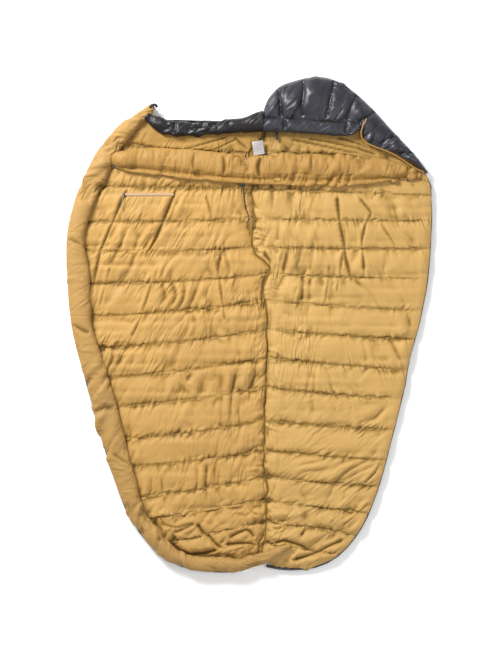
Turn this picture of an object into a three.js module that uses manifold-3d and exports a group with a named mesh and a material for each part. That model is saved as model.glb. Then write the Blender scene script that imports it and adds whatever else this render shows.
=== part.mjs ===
// A down camp quilt: a mummy sleeping bag unzipped all the way round and opened flat, lining up.
// Millimetres. +Z up, +Y towards the hood, +X to the right as seen from above with the hood at the top.
// The left part (the bag's top) folds over the right part (its back, with the hood) along the side seam.
import * as THREE from "three";
import { mergeVertices } from "three/addons/utils/BufferGeometryUtils.js";
import Module from "manifold-3d";

const wasm = await Module();
wasm.setup();

// ---------------------------------------------------------------- driving dimensions
const SHIFT = [0.63, 3.574, 0]; // moves the whole object so that its base centre is the origin
const SEAM_X = 60; // the side seam the two parts fold along
const SEAM_GAP = 1.5; // half the gap between the two parts' solids at that seam
const SHELL_T = 1.2; // outer shell fabric
const LINING_T = 1.2; // lining fabric
const SEAM_Z = 12; // loft at a baffle seam
const CROWN_Z = 40; // loft at the middle of a chamber
const FILL_GAP = 3; // room between the fill and the lining
const EDGE_INSET = 17; // from the outline to the padded body's edge
const TAPE_T = 1.0;
const TAPE_Z = 20;
const COIL_R = 2.1;
const TUBE_Z = 55.5; // middle height of the draft tube
const TUBE_H = 15; // half its height
const COLLAR_Z = 57.5;
const COLLAR_H = 15;
const CORD_R = 1.25;
const CORD_Z = 47.6;

// y of each baffle seam at the side seam, from the neckline down to the foot
const SEAM_SIDE_Y = [863, 732, 575, 448, 329, 214, 100, -23, -142, -269, -409, -537, -647, -749, -834, -935, -1003];
// where each seam meets the outer edge
const LEFT_ROWS = [[-460, 880], [-579, 783], [-702, 588], [-762, 439], [-778, 316], [-774, 172], [-757, 32], [-732, -108], [-698, -235], [-664, -358], [-626, -494], [-588, -609], [-541, -740], [-477, -868], [-397, -965], [-286, -1025], [-146, -1054]];
const RIGHT_ROWS = [[753, 647], [770, 609], [774, 549], [774, 439], [770, 320], [757, 193], [732, 57], [702, -66], [672, -193], [643, -320], [613, -452], [583, -579], [549, -694], [507, -808], [456, -902], [384, -982], [265, -1042]];
// the outline of each part, from its top end round to the foot
const LEFT_EDGE = [[-414, 940], [-469, 904], [-524, 868], [-562, 842], [-600, 800], [-634, 757], [-660, 715], [-681, 672], [-702, 630], [-719, 588], [-736, 545], [-749, 503], [-762, 460], [-770, 418], [-778, 358], [-778, 274], [-774, 189], [-770, 104], [-757, -6], [-740, -91], [-715, -176], [-694, -261], [-668, -346], [-647, -431], [-622, -515], [-596, -600], [-566, -685], [-537, -770], [-490, -855], [-426, -940], [-358, -999], [-274, -1037], [-168, -1054], [-53, -1054], [-32, -1046], [0, -1033.7], [54, -1013]];
const RIGHT_EDGE = [[753, 638], [774, 592], [774, 549], [778, 460], [774, 375], [770, 291], [757, 163], [740, 78], [723, -6], [698, -91], [677, -176], [664, -261], [643, -346], [622, -431], [600, -515], [579, -600], [554, -685], [524, -770], [486, -855], [426, -940], [363, -999], [291, -1033], [214, -1046], [142, -1046], [70, -1033]];
// the free inner edge of the draft tube
const TUBE_IN = [[-397, 918], [-439, 868], [-503, 800], [-537, 757], [-566, 715], [-592, 664], [-613, 622], [-634, 571], [-655, 528], [-672, 482], [-685, 435], [-698, 392], [-702, 346], [-689, 291], [-677, 210], [-677, 125], [-672, 11], [-647, -78], [-617, -159], [-592, -248], [-566, -329], [-545, -418], [-520, -515], [-498, -592], [-477, -668], [-465, -745], [-422, -825], [-358, -906], [-295, -965], [-218, -986], [-134, -986], [-40, -991], [30, -975]];
// the hood's crown and the line its rim is sewn along
const HOOD_TOP = [[62, 922], [75, 961], [129, 1016], [214, 1042], [278, 1050], [333, 1046], [405, 1020], [477, 961], [537, 902], [588, 842], [660, 766], [711, 706], [753, 651]];
const HOOD_LOW = [[63, 868], [151, 866], [257, 862], [363, 858], [435, 854], [477, 834], [490, 776], [536, 757], [617, 727], [681, 689], [748, 651]];
const RIM = [[70, 842], [172, 842], [257, 838], [342, 827], [405, 821], [456, 830]];
const SIDE_TUBE = [[-415, 872], [-388, 846], [-337, 829], [-252, 829], [-146, 834], [-40, 842], [54, 846]];
const COLLAR_LEFT = [[-549, 698], [-422, 694], [-274, 681], [-125, 670], [54, 664]];
const COLLAR_RIGHT = [[66, 664], [214, 662], [384, 657], [532, 660], [647, 647]];
const CORD_START = [-30, 604];
const CORD_DIR = new THREE.Vector2(11, -99).normalize();
const KNOT = [-2, 447, 46.5];
const POCKET = { x0: -541, x1: -329, y: 552 };
const POCKET_Z = 37;

// ---------------------------------------------------------------- helpers
const COLORS = { shell: 0x3a3a40, lining: 0xd2a561, fill: 0xf2efe6, zip: 0x1c1c20, metal: 0x2a2a2c, cord: 0x4a4a50, plastic: 0x161618, label: 0xf0eeee, pocket: 0xc9a98c };
const SOFT = { roughness: 0.7, metalness: 0 };
const root = new THREE.Group();
const topPart = new THREE.Group();
const backPart = new THREE.Group();
root.add(topPart, backPart);

function add(group, name, geometry, color, extra = SOFT) {
  const mesh = new THREE.Mesh(geometry, new THREE.MeshStandardMaterial({ color, ...extra }));
  mesh.name = name;
  group.add(mesh);
  return mesh;
}

// A box of segments whose every vertex (u, v, w), each from 0 to 1, is moved by map. us and vs are the places of its rows.
function warpBox(us, vs, map) {
  const nu = us.length - 1, nv = vs.length - 1;
  const g = new THREE.BoxGeometry(1, 1, 1, nu, nv, 1);
  const p = g.getAttribute("position");
  for (let i = 0; i < p.count; i++) {
    const u = us[Math.round((p.getX(i) + 0.5) * nu)];
    const v = vs[Math.round((p.getY(i) + 0.5) * nv)];
    const q = map(u, v, p.getZ(i) + 0.5);
    p.setXYZ(i, q[0], q[1], q[2]);
  }
  // the underside is split along the same diagonals as the top, so stacked skins stay apart
  const under = g.groups[5], n = g.index.array;
  for (let k = under.start; k < under.start + under.count; k += 6) {
    const [a, b, d, , c] = n.slice(k, k + 6);
    n.set([a, b, c, a, c, d], k);
  }
  return g;
}

const range = (n) => Array.from({ length: n + 1 }, (_, i) => i / n);

// A plane curve through the points, with its length, its direction and offsets to its side.
class Path {
  constructor(points, n = 400) {
    const c = new THREE.CatmullRomCurve3(points.map(([x, y]) => new THREE.Vector3(x, y, 0)), false, "centripetal");
    this.p = c.getSpacedPoints(n);
    this.n = n;
  }
  at(t, offset = 0) {
    const s = Math.min(Math.max(t, 0), 1) * this.n;
    const i = Math.min(Math.floor(s), this.n - 1), f = s - i;
    const a = this.p[i], b = this.p[i + 1];
    const before = this.p[Math.max(i - 4, 0)], after = this.p[Math.min(i + 5, this.n)];
    const d = new THREE.Vector2(after.x - before.x, after.y - before.y).normalize();
    return [a.x + (b.x - a.x) * f - d.y * offset, a.y + (b.y - a.y) * f + d.x * offset];
  }
  nearest([x, y]) {
    let best = 0, least = Infinity;
    this.p.forEach((q, i) => {
      const l = (q.x - x) ** 2 + (q.y - y) ** 2;
      if (l < least) [least, best] = [l, i];
    });
    return best / this.n;
  }
}

// A tube along a path: half width and half height may vary with t, and z is its middle.
function tube(path, steps, sides, half, z, height, t0 = 0, t1 = 1, offset = 0) {
  const g = new THREE.CylinderGeometry(1, 1, 1, sides, steps);
  const p = g.getAttribute("position");
  for (let i = 0; i < p.count; i++) {
    const s = p.getY(i) + 0.5, t = t0 + (t1 - t0) * s;
    const [x, y] = path.at(t, offset + p.getX(i) * (typeof half === "function" ? half(t) : half));
    p.setXYZ(i, x, y, (typeof z === "function" ? z(t) : z) + p.getZ(i) * (typeof height === "function" ? height(t) : height));
  }
  g.deleteAttribute("normal");
  g.deleteAttribute("uv");
  return rightWay(mergeVertices(g, 1e-3));
}

function solid(g) {
  const c = g.clone();
  c.deleteAttribute("normal");
  c.deleteAttribute("uv");
  const m = mergeVertices(c, 1e-3);
  return new wasm.Manifold(new wasm.Mesh({ numProp: 3, vertProperties: m.attributes.position.array, triVerts: new Uint32Array(m.index.array) }));
}

function geometry(s) {
  const m = s.getMesh(), n = m.numProp, v = new Float32Array(m.numVert * 3);
  for (let i = 0; i < m.numVert; i++) v.set(m.vertProperties.subarray(i * n, i * n + 3), i * 3);
  return new THREE.BufferGeometry().setAttribute("position", new THREE.BufferAttribute(v, 3)).setIndex(new THREE.BufferAttribute(m.triVerts, 1));
}

// Turns a closed geometry's faces outwards.
function rightWay(g) {
  const i = g.index.array;
  const flip = () => { for (let k = 0; k < i.length; k += 3) [i[k + 1], i[k + 2]] = [i[k + 2], i[k + 1]]; };
  const p = g.getAttribute("position");
  let v = 0;
  const a = new THREE.Vector3(), b = new THREE.Vector3(), c = new THREE.Vector3();
  for (let k = 0; k < i.length; k += 3) {
    a.fromBufferAttribute(p, i[k]); b.fromBufferAttribute(p, i[k + 1]); c.fromBufferAttribute(p, i[k + 2]);
    v += a.dot(b.cross(c));
  }
  if (v < 0) flip();
  return g;
}

const block = (w, d, h, x = 0, y = 0, z = 0) => new THREE.BoxGeometry(w, d, h).translate(x, y, z);
// a cylinder along x
const rodX = (r, l, sides, x = 0, y = 0, z = 0) => new THREE.CylinderGeometry(r, r, l, sides).rotateZ(Math.PI / 2).translate(x, y, z);
const rodY = (r, l, sides, x = 0, y = 0, z = 0) => new THREE.CylinderGeometry(r, r, l, sides).translate(x, y, z);

// ---------------------------------------------------------------- the padded parts
const leftEdge = new Path(LEFT_EDGE, 600);
const rightEdge = new Path(RIGHT_EDGE, 600);
const hoodTop = new Path(HOOD_TOP, 300), hoodLow = new Path(HOOD_LOW, 300);

// top, if given, is the line the first seam follows; the bend fades out over the first two rows
function part(edge, rows, side, top) {
  const t = rows.map((r) => edge.nearest(r));
  const inset = side < 0 ? EDGE_INSET : -EDGE_INSET;
  const cx = SEAM_X + side * SEAM_GAP;
  const lerp = (a, v) => { const k = Math.min(Math.floor(v), a.length - 2); return a[k] + (a[k + 1] - a[k]) * (v - k); };
  return (u, v) => {
    const e = edge.at(lerp(t, v), inset), y = lerp(SEAM_SIDE_Y, v);
    const q = [cx + (e[0] - cx) * u, y + (e[1] - y) * u];
    if (!top || v >= 2) return q;
    const e0 = edge.at(t[0], inset), f = 1 - v / 2, w = top.at(u, -6), g = f * Math.min(1, 8 * (1 - u));
    return [q[0] + (w[0] - cx - (e0[0] - cx) * u) * g * Math.min(1, 8 * u), q[1] + (w[1] - SEAM_SIDE_Y[0] - (e0[1] - SEAM_SIDE_Y[0]) * u) * g];
  };
}
const leftAt = part(leftEdge, LEFT_ROWS, -1);
const rightAt = part(rightEdge, RIGHT_ROWS, 1, hoodLow);

const PROFILE = [0, 0.2, 0.5, 0.8, 1];
const PROFILE_H = [0, 0.78, 1, 0.78, 0];
const ACROSS = [0, 0.06, 0.5, 0.94, 1];
const ACROSS_H = [0.35, 0.9, 1, 0.85, 0.3];
const ACROSS_RIGHT = [0, 0.06, 0.2, 0.34, 0.48, 0.545, 0.6, 0.66, 0.78, 0.94, 1]; // with a column at each bend of the hood's line
function table(xs, ys, x) {
  for (let i = 1; i < xs.length; i++) if (x <= xs[i] + 1e-9) return ys[i - 1] + ((ys[i] - ys[i - 1]) * (x - xs[i - 1])) / (xs[i] - xs[i - 1]);
  return ys[ys.length - 1];
}
const loft = (u, v) => SEAM_Z + (CROWN_Z - SEAM_Z) * table(PROFILE, PROFILE_H, v - Math.floor(v + 1e-9)) * table(ACROSS, ACROSS_H, u);
const rowsFrom = (a, b) => {
  const out = [];
  for (let k = a; k < b; k++) PROFILE.slice(0, -1).forEach((f) => out.push(k + f));
  out.push(b);
  return out;
};

const ROWS = SEAM_SIDE_Y.length - 1;
for (const [group, at, word] of [[topPart, leftAt, "top"], [backPart, rightAt, "back"]]) {
  const across = at === leftAt ? ACROSS : ACROSS_RIGHT;
  const make = (us, vs, f) => {
    const g = warpBox(us, vs, f);
    g.deleteAttribute("normal");
    g.deleteAttribute("uv");
    return rightWay(mergeVertices(g, 1e-3));
  };
  add(group, word + "_outer_shell", make(across, range(ROWS).map((x) => x * ROWS), (u, v, w) => [...at(u, v), w * SHELL_T]), COLORS.shell, { roughness: 0.4, metalness: 0 });
  add(group, word + "_lining", make(across, rowsFrom(0, ROWS), (u, v, w) => [...at(u, v), loft(u, v) + w * LINING_T]), COLORS.lining);
  const fills = [["neck_down_fill", 0, 2], ...range(9).map((_, i) => ["down_fill_" + String(i + 1).padStart(2, "0"), i + 2, i + 3]), ["foot_down_fill", 12, ROWS]];
  for (const [name, a, b] of fills) {
    const vs = rowsFrom(a, b);
    vs[0] = a + 0.03;
    vs[vs.length - 1] = b - 0.03;
    const us = a || at === leftAt ? [...ACROSS] : [...ACROSS_RIGHT];
    us[0] = 0.006;
    us[us.length - 1] = 0.994;
    add(group, word + "_" + name, make(us, vs, (u, v, w) => [...at(u, v), w ? loft(u, v) - FILL_GAP : SHELL_T + 0.4]), COLORS.fill, { roughness: 0.95, metalness: 0 });
  }
}

// ---------------------------------------------------------------- zip: a tape and a coil along each part's edge
for (const [group, edge, side, word, steps] of [[topPart, leftEdge, 1, "top", 44], [backPart, rightEdge, -1, "back", 38]]) {
  const tape = warpBox([0, 1], range(steps), (u, v, w) => [...edge.at(v, side * (4.9 + u * 8)), TAPE_Z + w * TAPE_T]);
  tape.deleteAttribute("normal");
  tape.deleteAttribute("uv");
  add(group, word + "_zip_tape", rightWay(mergeVertices(tape, 1e-3)), COLORS.zip);
  add(group, word + "_zip_coil", tube(edge, steps, 6, COIL_R, TAPE_Z + TAPE_T / 2, COIL_R, 0, 1, side * 2.4), COLORS.zip);
}

// ---------------------------------------------------------------- draft tube over the zip
const tubeIn = new Path(TUBE_IN, 600);
const mid = leftEdge.p.map((_, i) => {
  const t = i / leftEdge.n, a = leftEdge.at(t, 9), b = tubeIn.at(t);
  return [(a[0] + b[0]) / 2, (a[1] + b[1]) / 2];
}).filter((_, i) => i % 15 === 0);
const tubePath = new Path(mid, 600);
const tubeHalf = (t) => {
  const a = leftEdge.at(t, 9), b = tubeIn.at(t);
  return Math.max(6, 0.5 * Math.hypot(a[0] - b[0], a[1] - b[1]) * 0.97);
};
const ends = (t) => Math.min(1, 0.45 + 14 * Math.min(t, 1 - t));
add(topPart, "draft_tube_cover", geometry(
  solid(tube(tubePath, 40, 10, tubeHalf, TUBE_Z, (t) => TUBE_H * ends(t), 0.004, 0.985))
    .subtract(solid(tube(tubePath, 39, 8, (t) => tubeHalf(t) - 3, TUBE_Z, (t) => TUBE_H * ends(t) - 3, 0.02, 1.0))),
), COLORS.lining);
add(topPart, "draft_tube_down_fill", tube(tubePath, 38, 7, (t) => tubeHalf(t) - 8, TUBE_Z, (t) => TUBE_H * ends(t) - 6.5, 0.04, 0.97), COLORS.fill);

// ---------------------------------------------------------------- draft collar, in two halves
const taper = (a, b) => (t) => Math.min(1, 0.5 + (a ? 6 * t : 1), 0.5 + (b ? 6 * (1 - t) : 1));
for (const [group, points, word, f] of [[topPart, COLLAR_LEFT, "top", taper(true, false)], [backPart, COLLAR_RIGHT, "back", taper(false, true)]])
  add(group, word + "_draft_collar", tube(new Path(points, 200), 12, 10, (t) => 56 * f(t), COLLAR_Z, (t) => COLLAR_H * f(t)), COLORS.lining);
const disc = (r, h, sides) => new THREE.CylinderGeometry(r, r, h, sides).rotateX(Math.PI / 2);
add(topPart, "collar_snap_stud", geometry(solid(disc(6, 1.4, 14)).add(solid(disc(2.6, 4, 10).translate(0, 0, 1.5)))), COLORS.metal, { roughness: 0.35, metalness: 0.8 }).position.set(-572, 668, 60);
add(backPart, "collar_snap_socket", geometry(solid(disc(6.5, 2.6, 14)).subtract(solid(disc(2.9, 3, 10).translate(0, 0, 1)))), COLORS.metal, { roughness: 0.35, metalness: 0.8 }).position.set(668, 612, 60);

// ---------------------------------------------------------------- hood
const hoodAt = (u, v) => {
  const a = hoodLow.at(u), b = hoodTop.at(u);
  return [a[0] + (b[0] - a[0]) * v, a[1] + (b[1] - a[1]) * v];
};
const arch = (u) => Math.sin(Math.PI * Math.min(1, Math.max(0, u * 1.25 + 0.06)));
const HU = ACROSS_RIGHT, HV = [0, 0.12, 0.35, 0.6, 0.82, 0.94, 1];
const domeTop = (u, v) => 44 + 44 * Math.max(0, arch(u)) ** 0.7 * table([0, 0.12, 0.35, 0.6, 0.82, 0.94, 1], [0.55, 0.85, 1, 0.95, 0.72, 0.4, 0.08], v);
const domeUnder = (u, v) => 35.5 + 22.5 * table([0, 0.06, 0.12, 0.8, 0.92, 1], [0, 0.8, 1, 1, 0.3, 0], u) * table([0, 0.12, 0.6, 0.82, 0.94, 1], [1, 1, 1, 0.8, 0.05, 0], v);
const finish = (g) => { g.deleteAttribute("normal"); g.deleteAttribute("uv"); return rightWay(mergeVertices(g, 1e-3)); };
add(backPart, "hood_upper_shell", finish(warpBox(HU, HV, (u, v, w) => [...hoodAt(u, v), w ? domeTop(u, v) : domeUnder(u, v)])), COLORS.shell, { roughness: 0.4, metalness: 0 });
add(backPart, "hood_back_pad", finish(warpBox(HU, [0, 0.2, 0.8, 1], (u, v, w) => [...hoodAt(u, v), w ? table([0, 0.2, 0.8, 1], [26, 34, 33, 20], v) : 0])), COLORS.shell, { roughness: 0.4, metalness: 0 });
const sleeve = (t) => Math.min(1, 0.4 + 5 * Math.min(t, 1 - t));
add(backPart, "hood_rim_tube", tube(new Path(RIM, 200), 12, 8, (t) => 20 * Math.min(1, 0.4 + 5 * (1 - t)), 66, (t) => 12 * Math.min(1, 0.4 + 5 * (1 - t))), COLORS.shell, { roughness: 0.4, metalness: 0 });
add(topPart, "hood_side_tube", tube(new Path(SIDE_TUBE, 200), 14, 8, (t) => 24 * Math.min(1, 0.4 + 5 * t), 57, (t) => 14 * Math.min(1, 0.4 + 5 * t)), COLORS.shell, { roughness: 0.4, metalness: 0 });
add(backPart, "hood_pull_loop", block(11, 36, 2.4), COLORS.zip).position.set(117, 800, 48);

// ---------------------------------------------------------------- zip sliders. Local frame: x along the tape, y across it towards the padded part, z up
// The pull's crossbar lies under the bridge, and the pull turns about it.
function slider() {
  let s = solid(block(12, 10, 9.6, 0, 0.6, 0.1));
  s = s.subtract(solid(block(14, 5.2, 5.2, 0, 0, 0)));
  s = s.subtract(solid(block(14, 8, 2.0, 0, 5, 0)));
  s = s.add(solid(block(8.4, 2.6, 4.4, 0, 0, 7.0)));
  s = s.subtract(solid(block(6, 4, 3.2, 0, 0, 6.5)));
  return geometry(s);
}
function sliderPull() {
  let s = solid(block(27, 6.8, 1.4, 13.5, 0, 0));
  s = s.subtract(solid(block(5.6, 3.8, 3, 3.5, 0, 0)));
  s = s.subtract(solid(block(14, 3.2, 3, 17, 0, 0)));
  return geometry(s.add(solid(rodY(0.7, 6.8, 8, 0, 0, 0))));
}
function placeSlider(group, edge, t, side, flip, word) {
  const a = edge.at(t, side * 2.4), b = edge.at(t + flip * 0.01, side * 2.4);
  const holder = new THREE.Group();
  holder.position.set(a[0], a[1], TAPE_Z + TAPE_T / 2);
  holder.rotation.z = Math.atan2(b[1] - a[1], b[0] - a[0]);
  const mirror = new THREE.Group(); // y points to the padded part whichever way x runs along the tape
  if (flip * side < 0) mirror.scale.y = -1;
  holder.add(mirror);
  group.add(holder);
  add(mirror, word + "_slider", slider(), COLORS.metal, { roughness: 0.35, metalness: 0.8 });
  add(mirror, word + "_slider_pull", sliderPull(), COLORS.plastic).position.set(0, 0, 6.6);
  return holder;
}
placeSlider(topPart, leftEdge, 0.0075, 1, 1, "upper");
placeSlider(topPart, leftEdge, 0.991, 1, -1, "lower");

// ---------------------------------------------------------------- inner pocket with its own zip
// the bag hangs between the lining and the fill
const bag = warpBox([0.5, 0.62, 0.745], [2.25, 2.5, 2.8, 3, 3.2, 3.5], (u, v, w) => [...leftAt(u, v), loft(u, v) - 1.8 + w * 0.7]);
add(topPart, "pocket_bag", finish(bag), COLORS.lining);
const px = (POCKET.x0 + POCKET.x1) / 2, pw = POCKET.x1 - POCKET.x0;
add(topPart, "pocket_zip_tape", block(pw + 12, 12, 1), COLORS.pocket).position.set(px, POCKET.y, POCKET_Z);
add(topPart, "pocket_zip_coil", rodX(1.5, pw, 8), COLORS.pocket, { roughness: 0.5, metalness: 0 }).position.set(px, POCKET.y, POCKET_Z + 2.4);
{
  // a saddle over the coil, with a beam along the zip that the pull's ring hangs on
  let s = solid(block(9, 8, 4.6, 0, 0, 0.7)).subtract(solid(block(11, 3.8, 4.6, 0, 0, -0.3)));
  s = s.add(solid(block(9, 1.4, 6, 0, 0, 5.4))).subtract(solid(block(6, 4, 4.6, 0, 0, 5.4)));
  add(topPart, "pocket_slider", geometry(s), COLORS.metal, { roughness: 0.35, metalness: 0.8 }).position.set(POCKET.x0 + 8, POCKET.y, POCKET_Z + 2.4);
  // beam middle is 8.05 above the slider's middle
  let ring = solid(new THREE.TorusGeometry(1.75, 0.45, 6, 14).rotateY(Math.PI / 2));
  ring = ring.add(solid(block(2.4, 52, 1.4, 0, -27.9, 0))).add(solid(block(4.4, 14, 2, 0, -54, 0)));
  const pull = add(topPart, "pocket_pull", geometry(ring), COLORS.cord);
  pull.position.set(POCKET.x0 + 8, POCKET.y, POCKET_Z + 2.4 + 8.05);
  pull.rotation.z = -0.19;
}

// ---------------------------------------------------------------- care label
add(topPart, "care_label", block(48, 72, 0.8), COLORS.label).position.set(30, 755, 43.4);

// ---------------------------------------------------------------- collar drawcord, its lock and its knot
const cordAt = (d) => [CORD_START[0] + CORD_DIR.x * d, CORD_START[1] + CORD_DIR.y * d];
const sideways = [-CORD_DIR.y, CORD_DIR.x]; // the lock's barrel lies along this
for (const [word, k] of [["a", -1.42], ["b", 1.42]]) {
  const pts = [];
  for (const d of [0, 20, 40, 60, 80, 96]) {
    const [x, y] = cordAt(d);
    pts.push(new THREE.Vector3(x + sideways[0] * k, y + sideways[1] * k, CORD_Z));
  }
  const m = k * 1.1;
  pts.push(new THREE.Vector3(-14.5 + m, 489, 46.6), new THREE.Vector3(-9 + m, 476, 45.5), new THREE.Vector3(-5 + m, 463, 45.4), new THREE.Vector3(-3 + m, 452.6, 45.8));
  const curve = new THREE.CatmullRomCurve3(pts, false, "centripetal");
  const shape = new THREE.Shape().absarc(0, 0, CORD_R, 0, Math.PI * 2);
  const g = new THREE.ExtrudeGeometry(shape, { steps: 22, extrudePath: curve, curveSegments: 4, bevelEnabled: false });
  add(topPart, "collar_cord_" + word, finish(g), COLORS.cord);
}
{
  let knot = solid(new THREE.IcosahedronGeometry(4.4, 1));
  for (const [x, y, a] of [[-7.5, -9.5, 2.42], [-3.5, -11, 2.72]]) knot = knot.add(solid(new THREE.CylinderGeometry(CORD_R, CORD_R, 24, 8).rotateZ(a).translate(x, y, -1.2)));
  add(topPart, "collar_cord_knot", geometry(knot), COLORS.cord).position.set(KNOT[0], KNOT[1], KNOT[2]);
}
{
  const lock = new THREE.Group();
  const [x, y] = cordAt(11);
  lock.position.set(x - sideways[0] * 4, y - sideways[1] * 4, CORD_Z);
  lock.rotation.z = Math.atan2(sideways[1], sideways[0]);
  topPart.add(lock);
  let barrel = solid(rodX(6.5, 21, 16, 0.2)).subtract(solid(rodX(4.9, 20, 14, 2.5)));
  barrel = barrel.subtract(solid(block(6.2, 20, 3.3, 4, 0, 0)));
  add(lock, "cord_lock_barrel", geometry(barrel), COLORS.plastic, { roughness: 0.45, metalness: 0 });
  let plunger = solid(rodX(4.5, 18, 14, 6.9)).subtract(solid(block(8.6, 20, 3.3, 5.3, 0, 0)));
  add(lock, "cord_lock_button", geometry(plunger), COLORS.plastic, { roughness: 0.45, metalness: 0 });
  const coil = [];
  for (let i = 0; i <= 20; i++) coil.push(new THREE.Vector3(-6.6 + (i / 20) * 1.6, 3.6 * Math.cos((i / 20) * 4 * Math.PI), 3.6 * Math.sin((i / 20) * 4 * Math.PI)));
  const wire = new THREE.Shape().absarc(0, 0, 0.3, 0, Math.PI * 2);
  add(lock, "cord_lock_spring", finish(new THREE.ExtrudeGeometry(wire, { steps: 28, extrudePath: new THREE.CatmullRomCurve3(coil), curveSegments: 2, bevelEnabled: false })), 0x9a9a9a, { roughness: 0.3, metalness: 1 });
}

root.position.set(...SHIFT);

export default root;
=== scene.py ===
import math

import bpy
import numpy as np
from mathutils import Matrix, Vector


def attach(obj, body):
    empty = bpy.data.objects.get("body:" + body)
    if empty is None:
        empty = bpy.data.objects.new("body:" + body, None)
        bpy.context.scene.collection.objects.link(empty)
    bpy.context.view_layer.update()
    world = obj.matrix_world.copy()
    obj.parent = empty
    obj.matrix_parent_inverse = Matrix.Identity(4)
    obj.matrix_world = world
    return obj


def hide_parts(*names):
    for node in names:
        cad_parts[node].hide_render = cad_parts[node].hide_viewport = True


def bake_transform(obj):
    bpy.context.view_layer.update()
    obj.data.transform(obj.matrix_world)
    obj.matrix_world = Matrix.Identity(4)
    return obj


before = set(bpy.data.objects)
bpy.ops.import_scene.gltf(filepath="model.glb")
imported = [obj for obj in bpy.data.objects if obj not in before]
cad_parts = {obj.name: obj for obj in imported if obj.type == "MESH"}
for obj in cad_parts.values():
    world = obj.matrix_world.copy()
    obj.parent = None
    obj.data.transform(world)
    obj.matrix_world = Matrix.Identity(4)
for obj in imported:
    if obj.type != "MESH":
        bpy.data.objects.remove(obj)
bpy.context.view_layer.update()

SX, SY = 0.63, 3.574  # mm from the outline's own origin to the row frame's, as in the CAD
GRID = 4.2424  # mm, the pitch of the square grid the folds below are laid out on
FINE = 1.0


def mm(points):
    return (np.array(points, float) + (SX, SY)) / 1000


def grid(points):
    p = np.array(points, float)
    return np.stack([((p[:, 0] - 249.5) * GRID + SX) / 1000, ((324.5 - p[:, 1]) * GRID + SY) / 1000], 1)


# ------------------------------------------------------------------ measured lines, in mm
SIDE_Y = [863, 732, 575, 448, 329, 214, 100, -23, -142, -269, -409, -537, -647, -749, -834, -935, -1003]
LEFT_ROWS = mm([[-460, 880], [-579, 783], [-702, 588], [-762, 439], [-778, 316], [-774, 172], [-757, 32], [-732, -108], [-698, -235], [-664, -358], [-626, -494], [-588, -609], [-541, -740], [-484, -838], [-405, -955], [-286, -1025], [-146, -1054]])
RIGHT_ROWS = mm([[753, 647], [770, 609], [774, 549], [774, 439], [770, 320], [757, 193], [732, 57], [702, -66], [672, -193], [643, -320], [613, -452], [583, -579], [549, -694], [507, -808], [456, -902], [384, -982], [265, -1042]])
LEFT_EDGE = mm([[-414, 940], [-524, 868], [-562, 842], [-600, 800], [-634, 757], [-660, 715], [-681, 672], [-702, 630], [-719, 588], [-736, 545], [-749, 503], [-762, 460], [-770, 418], [-778, 358], [-778, 274], [-774, 189], [-770, 104], [-757, -6], [-740, -91], [-715, -176], [-694, -261], [-668, -346], [-647, -431], [-622, -515], [-596, -600], [-566, -685], [-537, -770], [-490, -855], [-426, -940], [-358, -999], [-274, -1037], [-168, -1054], [-53, -1054], [54, -1013]])
RIGHT_EDGE = mm([[753, 638], [774, 592], [774, 549], [778, 460], [774, 375], [770, 291], [757, 163], [740, 78], [723, -6], [698, -91], [677, -176], [664, -261], [643, -346], [622, -431], [600, -515], [579, -600], [554, -685], [524, -770], [486, -855], [426, -940], [363, -999], [291, -1033], [214, -1046], [142, -1046], [70, -1033]])
TUBE_IN = mm([[-397, 918], [-439, 868], [-503, 800], [-537, 757], [-566, 715], [-592, 664], [-613, 622], [-634, 571], [-655, 528], [-672, 482], [-685, 435], [-698, 392], [-702, 346], [-689, 291], [-677, 210], [-677, 125], [-672, 11], [-647, -78], [-617, -159], [-592, -248], [-566, -329], [-545, -418], [-520, -515], [-498, -592], [-477, -668], [-465, -745], [-422, -825], [-358, -906], [-295, -965], [-218, -986], [-134, -986], [-40, -991], [36, -969], [110, -945]])
HOOD_TOP = mm([[60, 905], [75, 958], [129, 1016], [214, 1042], [278, 1054], [333, 1050], [405, 1020], [477, 961], [537, 902], [588, 842], [660, 766], [711, 706], [756, 645]])
HOOD_LOW = mm([[60, 868], [151, 866], [257, 862], [363, 858], [435, 854], [470, 842], [482, 812], [484, 785], [500, 768], [536, 755], [617, 725], [681, 689], [752, 640]])
RIM = mm([[58, 846], [172, 843], [257, 838], [342, 829], [405, 826], [466, 836]])
SIDE_TUBE = mm([[-436, 884], [-412, 864], [-388, 850], [-337, 831], [-252, 829], [-146, 835], [-40, 843], [62, 849]])
CENTRE = grid([(263, 118), (262, 132), (260, 150), (254, 178), (252, 190), (254, 205), (254, 220), (252, 235), (252, 245), (256, 255), (266, 262), (271, 268), (268, 276), (265, 285), (263, 295), (266, 305), (268, 320), (266, 335), (268, 345), (266, 360), (266, 380), (265, 400), (265, 420), (264, 440), (265, 455), (263, 465), (267, 478), (268, 485), (266, 500), (267, 520), (265, 540), (262, 552), (264, 570)])


# ------------------------------------------------------------------ curves, noise
def smooth(p, sigma=0.02, step=0.002):
    p = np.asarray(p, float)
    d = np.r_[0, np.cumsum(np.linalg.norm(np.diff(p, axis=0), axis=1))]
    n = max(int(d[-1] / step), 12)
    s = np.linspace(0, d[-1], n + 1)
    q = np.stack([np.interp(s, d, p[:, k]) for k in range(p.shape[1])], 1)
    r = min(int(3 * sigma / step), n - 1)
    if r > 0:
        k = np.exp(-0.5 * (np.arange(-r, r + 1) * step / sigma) ** 2)
        k /= k.sum()
        pad = np.concatenate([2 * q[0] - q[r:0:-1], q, 2 * q[-1] - q[-2 : -r - 2 : -1]])
        q = np.stack([np.convolve(pad[:, c], k, "valid") for c in range(q.shape[1])], 1)
    return q


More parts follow.
